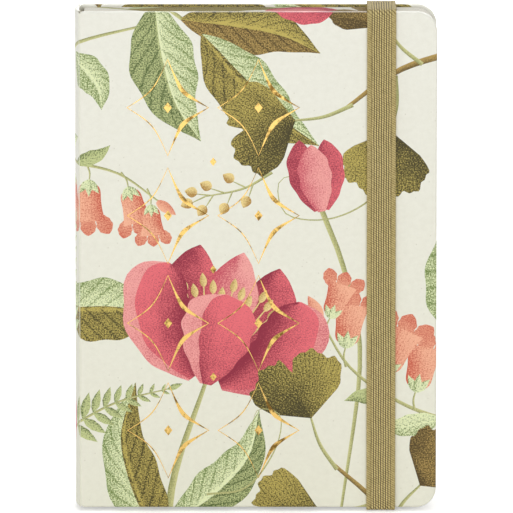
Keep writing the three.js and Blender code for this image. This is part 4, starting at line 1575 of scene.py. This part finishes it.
@dataclass
class Elastic:
    """The corded closing loop and its two ends, which go in through the back cover."""

    cords: int = 8
    cord_steps: int = 6
    groove: float = 0.3  # depth of the groove between two cords
    fullness: float = 0.7  # under 1, so that a cord is rounder than a wave
    selvedge: float = 1.7  # width of the flat edge beside the cords
    bend: float = 0.9  # inside radius where the loop turns over an edge
    entry_bend: float = 0.25  # inside radius where an end turns into its slot
    board_bend: float = 0.15  # inside radius where it then turns along the board
    end_gap: float = 1.05  # from the middle of a slot to the loop's cut end
    bend_steps: int = 8
    stretch: float = 5.0  # longest gap between two stations
    board_inner: float = 2.65  # depth of the board's inner face under the cover's outer face
    glue_line: float = 0.1
    glued_length: float = 12.0

    @property
    def ribbed(self) -> float:
        """Width that the cords take up."""
        return SIZES.elastic_width - 2 * self.selvedge

    @property
    def outer_y(self) -> float:
        """Where the loop's inner face lies behind the back cover."""
        return SIZES.back_y + SIZES.elastic_clearance

    def section(self) -> Line:
        """Cross-section as places across the band and heights over its inner face."""
        half, thick = SIZES.elastic_width / 2, SIZES.elastic_thickness
        flat = half - self.selvedge
        # up the rounded edge and in over the flat selvedge, then the cords, then the same the other way
        edge = [(half, 0.12), (half, thick * 0.78), (half - 0.22, thick * 0.95), (flat + 0.12, thick * 0.96)]
        rows = list(edge)
        steps = self.cords * self.cord_steps
        for step in range(steps + 1):
            crest = abs(math.sin(step / self.cord_steps * math.pi)) ** self.fullness
            rows.append((flat - step / steps * self.ribbed, thick - self.groove * (1 - crest)))
        rows += [(-across, height) for across, height in reversed(edge)]
        return rows + [(0.15 - half, 0.0), (half - 0.15, 0.0)]

    def sweep(self, name: str, route: list[Station], material: bpy.types.Material) -> bpy.types.Object:
        """Carries the cross-section along a route.

        Args:
            name: the piece's name.
            route: the stations that the band passes.
            material: the woven elastic.

        Returns:
            The band.
        """
        rows = self.section()
        vertices, weave, run = [], [], 0.0
        for k, (y, z, ny, nz) in enumerate(route):
            if k:
                run += math.hypot(y - route[k - 1][0], z - route[k - 1][1])
            for across, height in rows:
                vertices.append((SIZES.elastic_x + across, y + height * ny, z + height * nz))
                weave.append((across, run, height))
        band = mesh_object(name, np.array(vertices), tube_faces(len(route), len(rows)), material)
        face_out(band.data)
        band.data.shade_smooth()
        for polygon in list(band.data.polygons)[-2:]:
            polygon.use_smooth = False
        store(band.data, "weave_mm", "POINT", np.array(weave))
        return band

    def bend_round(self, y: float, z: float, radius: float, start: float, end: float) -> list[Station]:
        """Stations round a bend; the radius is negative where the outward direction faces its centre."""
        ways = [(math.cos(a), math.sin(a)) for a in np.radians(np.linspace(start, end, self.bend_steps + 1))]
        return [(y + radius * ny, z + radius * nz, ny, nz) for ny, nz in ways]

    def filled(self, stops: list[Station]) -> list[Station]:
        """Adds stations to the straight stretches so that no gap is longer than the stretch."""
        route = stops[:1]
        for a, b in zip(stops, stops[1:]):
            pieces = max(1, math.ceil(math.hypot(b[0] - a[0], b[1] - a[1]) / self.stretch))
            route += [tuple(p + (q - p) * k / pieces for p, q in zip(a, b)) for k in range(1, pieces + 1)]
        return route

    def loop_route(self) -> list[Station]:
        """Stations from the slot near the tail, round the tail, the front and the head, to the other slot."""
        inset = self.bend - SIZES.elastic_clearance
        front, back = SIZES.front_y + inset, SIZES.back_y - inset
        low, high = SIZES.tail_z + inset, SIZES.head_z - inset
        stops = [(self.outer_y, SIZES.slot_z(False) - self.end_gap, 1.0, 0.0)]
        for k, (y, z) in enumerate(((back, low), (front, low), (front, high), (back, high))):
            stops += self.bend_round(y, z, self.bend, -90 * k, -90 * (k + 1))
        return self.filled(stops + [(self.outer_y, SIZES.slot_z(True) + self.end_gap, 1.0, 0.0)])

    def end_route(self, at_head: bool) -> list[Station]:
        """Stations of a glued end: on from the loop, in through the slot and along the board."""
        slot, half = SIZES.slot_z(False), SIZES.elastic_thickness / 2
        inner = SIZES.back_y - self.board_inner + self.glue_line
        small, wide = self.entry_bend, SIZES.elastic_thickness + self.board_bend
        stops = [(self.outer_y, slot - self.end_gap, 1.0, 0.0)]
        stops += self.bend_round(self.outer_y - small, slot - half - small, small, 0, 90)
        stops += self.bend_round(inner + wide, slot - half + wide, -wide, 90, 0)
        stops.append((inner, slot + half + self.glued_length, 1.0, 0.0))
        if at_head:
            middle = SIZES.tail_z + SIZES.head_z
            stops = [(y, middle - z, ny, -nz) for y, z, ny, nz in stops]
        return self.filled(stops)

    def build(self, material: bpy.types.Material) -> None:
        """Builds the loop and both ends."""
        band = self.sweep("elastic_loop", self.loop_route(), material)
        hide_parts("elastic_band")
        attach(band, "elastic")
        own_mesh(band)
        for at_head, end in ((True, "head"), (False, "tail")):
            piece = self.sweep(f"elastic_{end}_end", self.end_route(at_head), material)
            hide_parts(f"elastic_end_{end}")
            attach(piece, "back_cover")
        LOG.info("elastic: loop and two ends")


@dataclass
class FoilOrnament:
    """Fine gold lozenges with dots, stamped on the front cover: a generic ornament without letters."""

    height: float = 0.05  # how far the foil stands over the paper's face
    sink: float = 0.03  # how far it reaches under that face
    columns: tuple[float, ...] = (-32.0, 1.0)
    rows: tuple[float, ...] = (30.0, 70.0, 110.0, 150.0)
    half_width: float = 15.0
    half_height: float = 18.0
    hollow: float = 0.22  # how far the middle of a side is drawn in, as a share of its distance
    side_steps: int = 16
    fine: float = 0.4  # width of the line, measured towards the lozenge's middle
    broad: float = 1.6  # its width halfway along a right-hand side
    middle_dot: float = 1.5
    lone_dot: float = 1.2
    dot_height: float = 1.3  # half a dot's height, as a share of half its width

    def strip(self, outer: Line, inner: Line) -> tuple[list, list]:
        """A raised ring between two loops of as many corners.

        Args:
            outer: the outer loop.
            inner: the inner loop.

        Returns:
            Its vertices and its faces.
        """
        n = len(outer)
        low, high = SIZES.front_y + self.sink, SIZES.front_y - self.height
        vertices = [(x, y, z) for y in (high, low) for loop in (outer, inner) for x, z in loop]
        faces = []
        for k in range(n):
            m = (k + 1) % n
            faces.append((k, m, n + m, n + k))
            faces.append((2 * n + m, 2 * n + k, 3 * n + k, 3 * n + m))
            faces.append((m, k, 2 * n + k, 2 * n + m))
            faces.append((n + k, n + m, 3 * n + m, 3 * n + k))
        return vertices, faces

    def lozenge(self, x: float, z: float) -> tuple[list, list]:
        """A tall lozenge with hollowed sides, its right-hand sides drawn with a broader line."""
        corners = ((0, self.half_height), (-self.half_width, 0), (0, -self.half_height), (self.half_width, 0))
        outer, inner = [], []
        for k, (ax, az) in enumerate(corners):
            bx, bz = corners[(k + 1) % 4]
            swell = self.broad - self.fine if k >= 2 else 0.0
            for step in range(self.side_steps):
                t = step / self.side_steps
                pull = 1 - self.hollow * 4 * t * (1 - t)
                px, pz = (ax + (bx - ax) * t) * pull, (az + (bz - az) * t) * pull
                keep = 1 - (self.fine + swell * math.sin(math.pi * t)) / math.hypot(px, pz)
                outer.append((x + px, z + pz))
                inner.append((x + px * keep, z + pz * keep))
        return self.strip(outer, inner)

    def dot(self, x: float, z: float, radius: float) -> tuple[list, list]:
        """A small raised four-pointed lozenge dot, all but closed in its middle."""
        tall = radius * self.dot_height
        outer = [(x, z + tall), (x - radius, z), (x, z - tall), (x + radius, z)]
        inner = [(x + (a - x) * 0.05, z + (b - z) * 0.05) for a, b in outer]
        return self.strip(outer, inner)

    def build(self, material: bpy.types.Material) -> None:
        """Stamps the ornament as one piece."""
        parts = []
        for k, z in enumerate(self.rows):
            for x in self.columns:
                parts += [self.lozenge(x, z), self.dot(x, z, self.middle_dot)]
            if k:
                parts.append(self.dot(sum(self.columns) / 2, (z + self.rows[k - 1]) / 2, self.lone_dot))
        vertices, faces = [], []
        for points, loops in parts:
            faces += [tuple(len(vertices) + v for v in loop) for loop in loops]
            vertices += points
        piece = mesh_object("foil_lozenges", np.array(vertices), faces, material)
        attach(piece, "front_cover")
        LOG.info("foil: %d shapes", len(parts))


@dataclass
class Studio:
    """White floor, soft light and the photograph's camera."""

    elevation: float = 11.5
    distance: float = 4000.0
    scale: float = 2.745  # pixels for a millimetre of the front cover
    frame_px: float = 513.0
    face_px: tuple[float, float] = (258.2, 261.0)  # where the middle of the front cover shows
    sensor: float = 36.0
    ambient: float = 0.36  # how bright the world lights the planner, where the camera sees it as 1
    lamp_aim: tuple[float, float, float] = (0.0, 0.0, 90.0)
    lamps: tuple[tuple[tuple[float, float, float], float, float], ...] = (  # place, size and watts
        ((-450.0, -1400.0, 420.0), 900.0, 5.3),
        ((-1450.0, -420.0, 300.0), 700.0, 2.6),
        ((650.0, -1300.0, 360.0), 900.0, 4.5),
        ((0.0, -150.0, 1400.0), 900.0, 4.4),
        ((250.0, 1400.0, 600.0), 900.0, 8.0),
    )
    floor_grey: float = 0.88
    floor_reach: float = 6000.0
    floor_z: float = -0.2
    near_glow: float = 0.42  # how white the floor shows round the planner, where its shadow lies

    def camera(self) -> None:
        """Sets the camera at the photograph's angle, but far off and with a long lens."""
        e = math.radians(self.elevation)
        middle = Vector(
            ((SIZES.shoulder_x + SIZES.fore_x) / 2, SIZES.front_y, (SIZES.tail_z + SIZES.head_z) / 2)
        )
        centre = self.frame_px / 2
        across = (centre - self.face_px[0]) / self.scale
        upward = (self.face_px[1] - centre) / self.scale
        target = middle + Vector((across, 0, upward / math.cos(e)))
        data = bpy.data.cameras.new("camera")
        data.sensor_width = self.sensor
        data.lens = self.scale * self.sensor * self.distance / self.frame_px
        data.clip_start, data.clip_end = 0.1, 20
        back = Vector((0, -math.cos(e), math.sin(e)))
        thing = place_object("camera", data)
        self.aim(thing, target + back * self.distance, -back)
        bpy.context.scene.camera = thing

    @staticmethod
    def aim(thing: bpy.types.Object, place: Vector, way: Vector) -> None:
        """Puts a camera or a lamp at a place in millimetres and turns it to look along a way."""
        thing.location = place * MM
        thing.rotation_mode = "QUATERNION"
        thing.rotation_quaternion = way.to_track_quat("-Z", "Y")

    def floor(self) -> None:
        """A wide white floor that shows white to the camera and keeps the planner's shadow."""
        material, add = new_material("white_seamless_paper")
        grain = add("TexNoise", {"Scale": 40.0}).outputs["Fac"]
        rough = add("MapRange", [grain, 0.0, 1.0, 0.85, 0.95]).outputs[0]
        path = add("LightPath").outputs
        seen = add("Math", [path["Is Camera Ray"], path["Is Glossy Ray"]], operation="MAXIMUM").outputs[0]
        spot = add("TexCoord").outputs["Object"]
        away = add("VectorMath", [spot], operation="LENGTH").outputs["Value"]
        white = add("MapRange", [away, 0.3, 1.2, self.near_glow, 1.0]).outputs[0]
        glow = add("Math", [seen, white], operation="MULTIPLY").outputs[0]
        shine = {"Emission Color": (1, 1, 1, 1), "Emission Strength": glow}
        paint = {"Base Color": (self.floor_grey,) * 3 + (1,), "Roughness": rough}
        surface = add("BsdfPrincipled", paint | shine).outputs["BSDF"]
        add("OutputMaterial", {"Surface": surface})
        far, z = self.floor_reach, self.floor_z
        corners = np.array([(-far, -far, z), (far, -far, z), (far, far, z), (-far, far, z)])
        mesh_object("studio_floor", corners, [(0, 1, 2, 3)], material)

    def light(self) -> None:
        """A bright even world, white behind the planner, and five large soft lamps."""
        world = bpy.data.worlds.new("studio")
        world.use_nodes = True
        world.node_tree.nodes.clear()
        add = partial(add_node, world.node_tree)
        path = add("LightPath").outputs
        seen = add("Math", [path["Is Camera Ray"], path["Is Glossy Ray"]], operation="MAXIMUM").outputs[0]
        seen = add("Math", [seen, path["Is Transmission Ray"]], operation="MAXIMUM").outputs[0]
        strength = add("MapRange", [seen, 0.0, 1.0, self.ambient, 1.0]).outputs[0]
        sky = add("Background", {"Color": (1, 1, 1, 1), "Strength": strength}).outputs["Background"]
        add("OutputWorld", {"Surface": sky})
        bpy.context.scene.world = world
        for k, (place, size, power) in enumerate(self.lamps):
            data = bpy.data.lights.new(f"softbox_{k + 1}", "AREA")
            data.shape, data.size, data.energy = "SQUARE", size * MM, power
            self.aim(place_object(data.name, data), Vector(place), Vector(self.lamp_aim) - Vector(place))
        bpy.context.scene.view_settings.view_transform = "Standard"


def dress_cad_nodes() -> None:
    """Gives the CAD nodes that stay in view their papers and boards."""
    board = FibreStock("grey_binders_board", "#A89C89", "#85796A", 1.4, 0.08, 0.95).dress()
    endpaper = FibreStock("uncoated_cream_endpaper", "#F3EFE3", "#E4DECE", 1.1, 0.03, 0.85).dress()
    kraft = FibreStock("brown_kraft_lining", "#BC9A6E", "#96754B", 1.6, 0.05, 0.9).dress()
    nodes = (
        (board, ("front_board", "back_board", "spine_inlay")),
        (endpaper, ("pastedown_front", "pastedown_back", "flyleaf_front", "flyleaf_back")),
        (StarchedGauze().dress(), ("spine_mull",)),
        (kraft, ("spine_liner",)),
    )
    for material, names in nodes:
        for name in names:
            frame["nodes"][name].data.materials.clear()
            frame["nodes"][name].data.materials.append(material)
        LOG.info("%s: %s", material.name, ", ".join(names))


def main() -> None:
    """Builds the planner's pieces in order."""
    logging.basicConfig(level=logging.INFO, format="%(name)s %(message)s")
    studio = Studio()
    studio.camera()
    pattern = lay_out_pattern()
    LOG.info("pattern: %d shapes", len(pattern.motifs))
    paper = PrintedLaminate().dress()
    for panel in (CoverPanel(Side.FRONT), CoverPanel(Side.BACK), SpinePanel()):
        panel.build(pattern, paper)
    PageBlock().build(pattern, PrintedEdge().dress(), RuledPaper().dress())
    elastic = Elastic()
    elastic.build(WovenElastic().dress(elastic.cords, elastic.ribbed))
    FoilOrnament().build(StampedFoil().dress())
    dress_cad_nodes()
    studio.floor()
    studio.light()


if __name__ == "__main__":
    main()
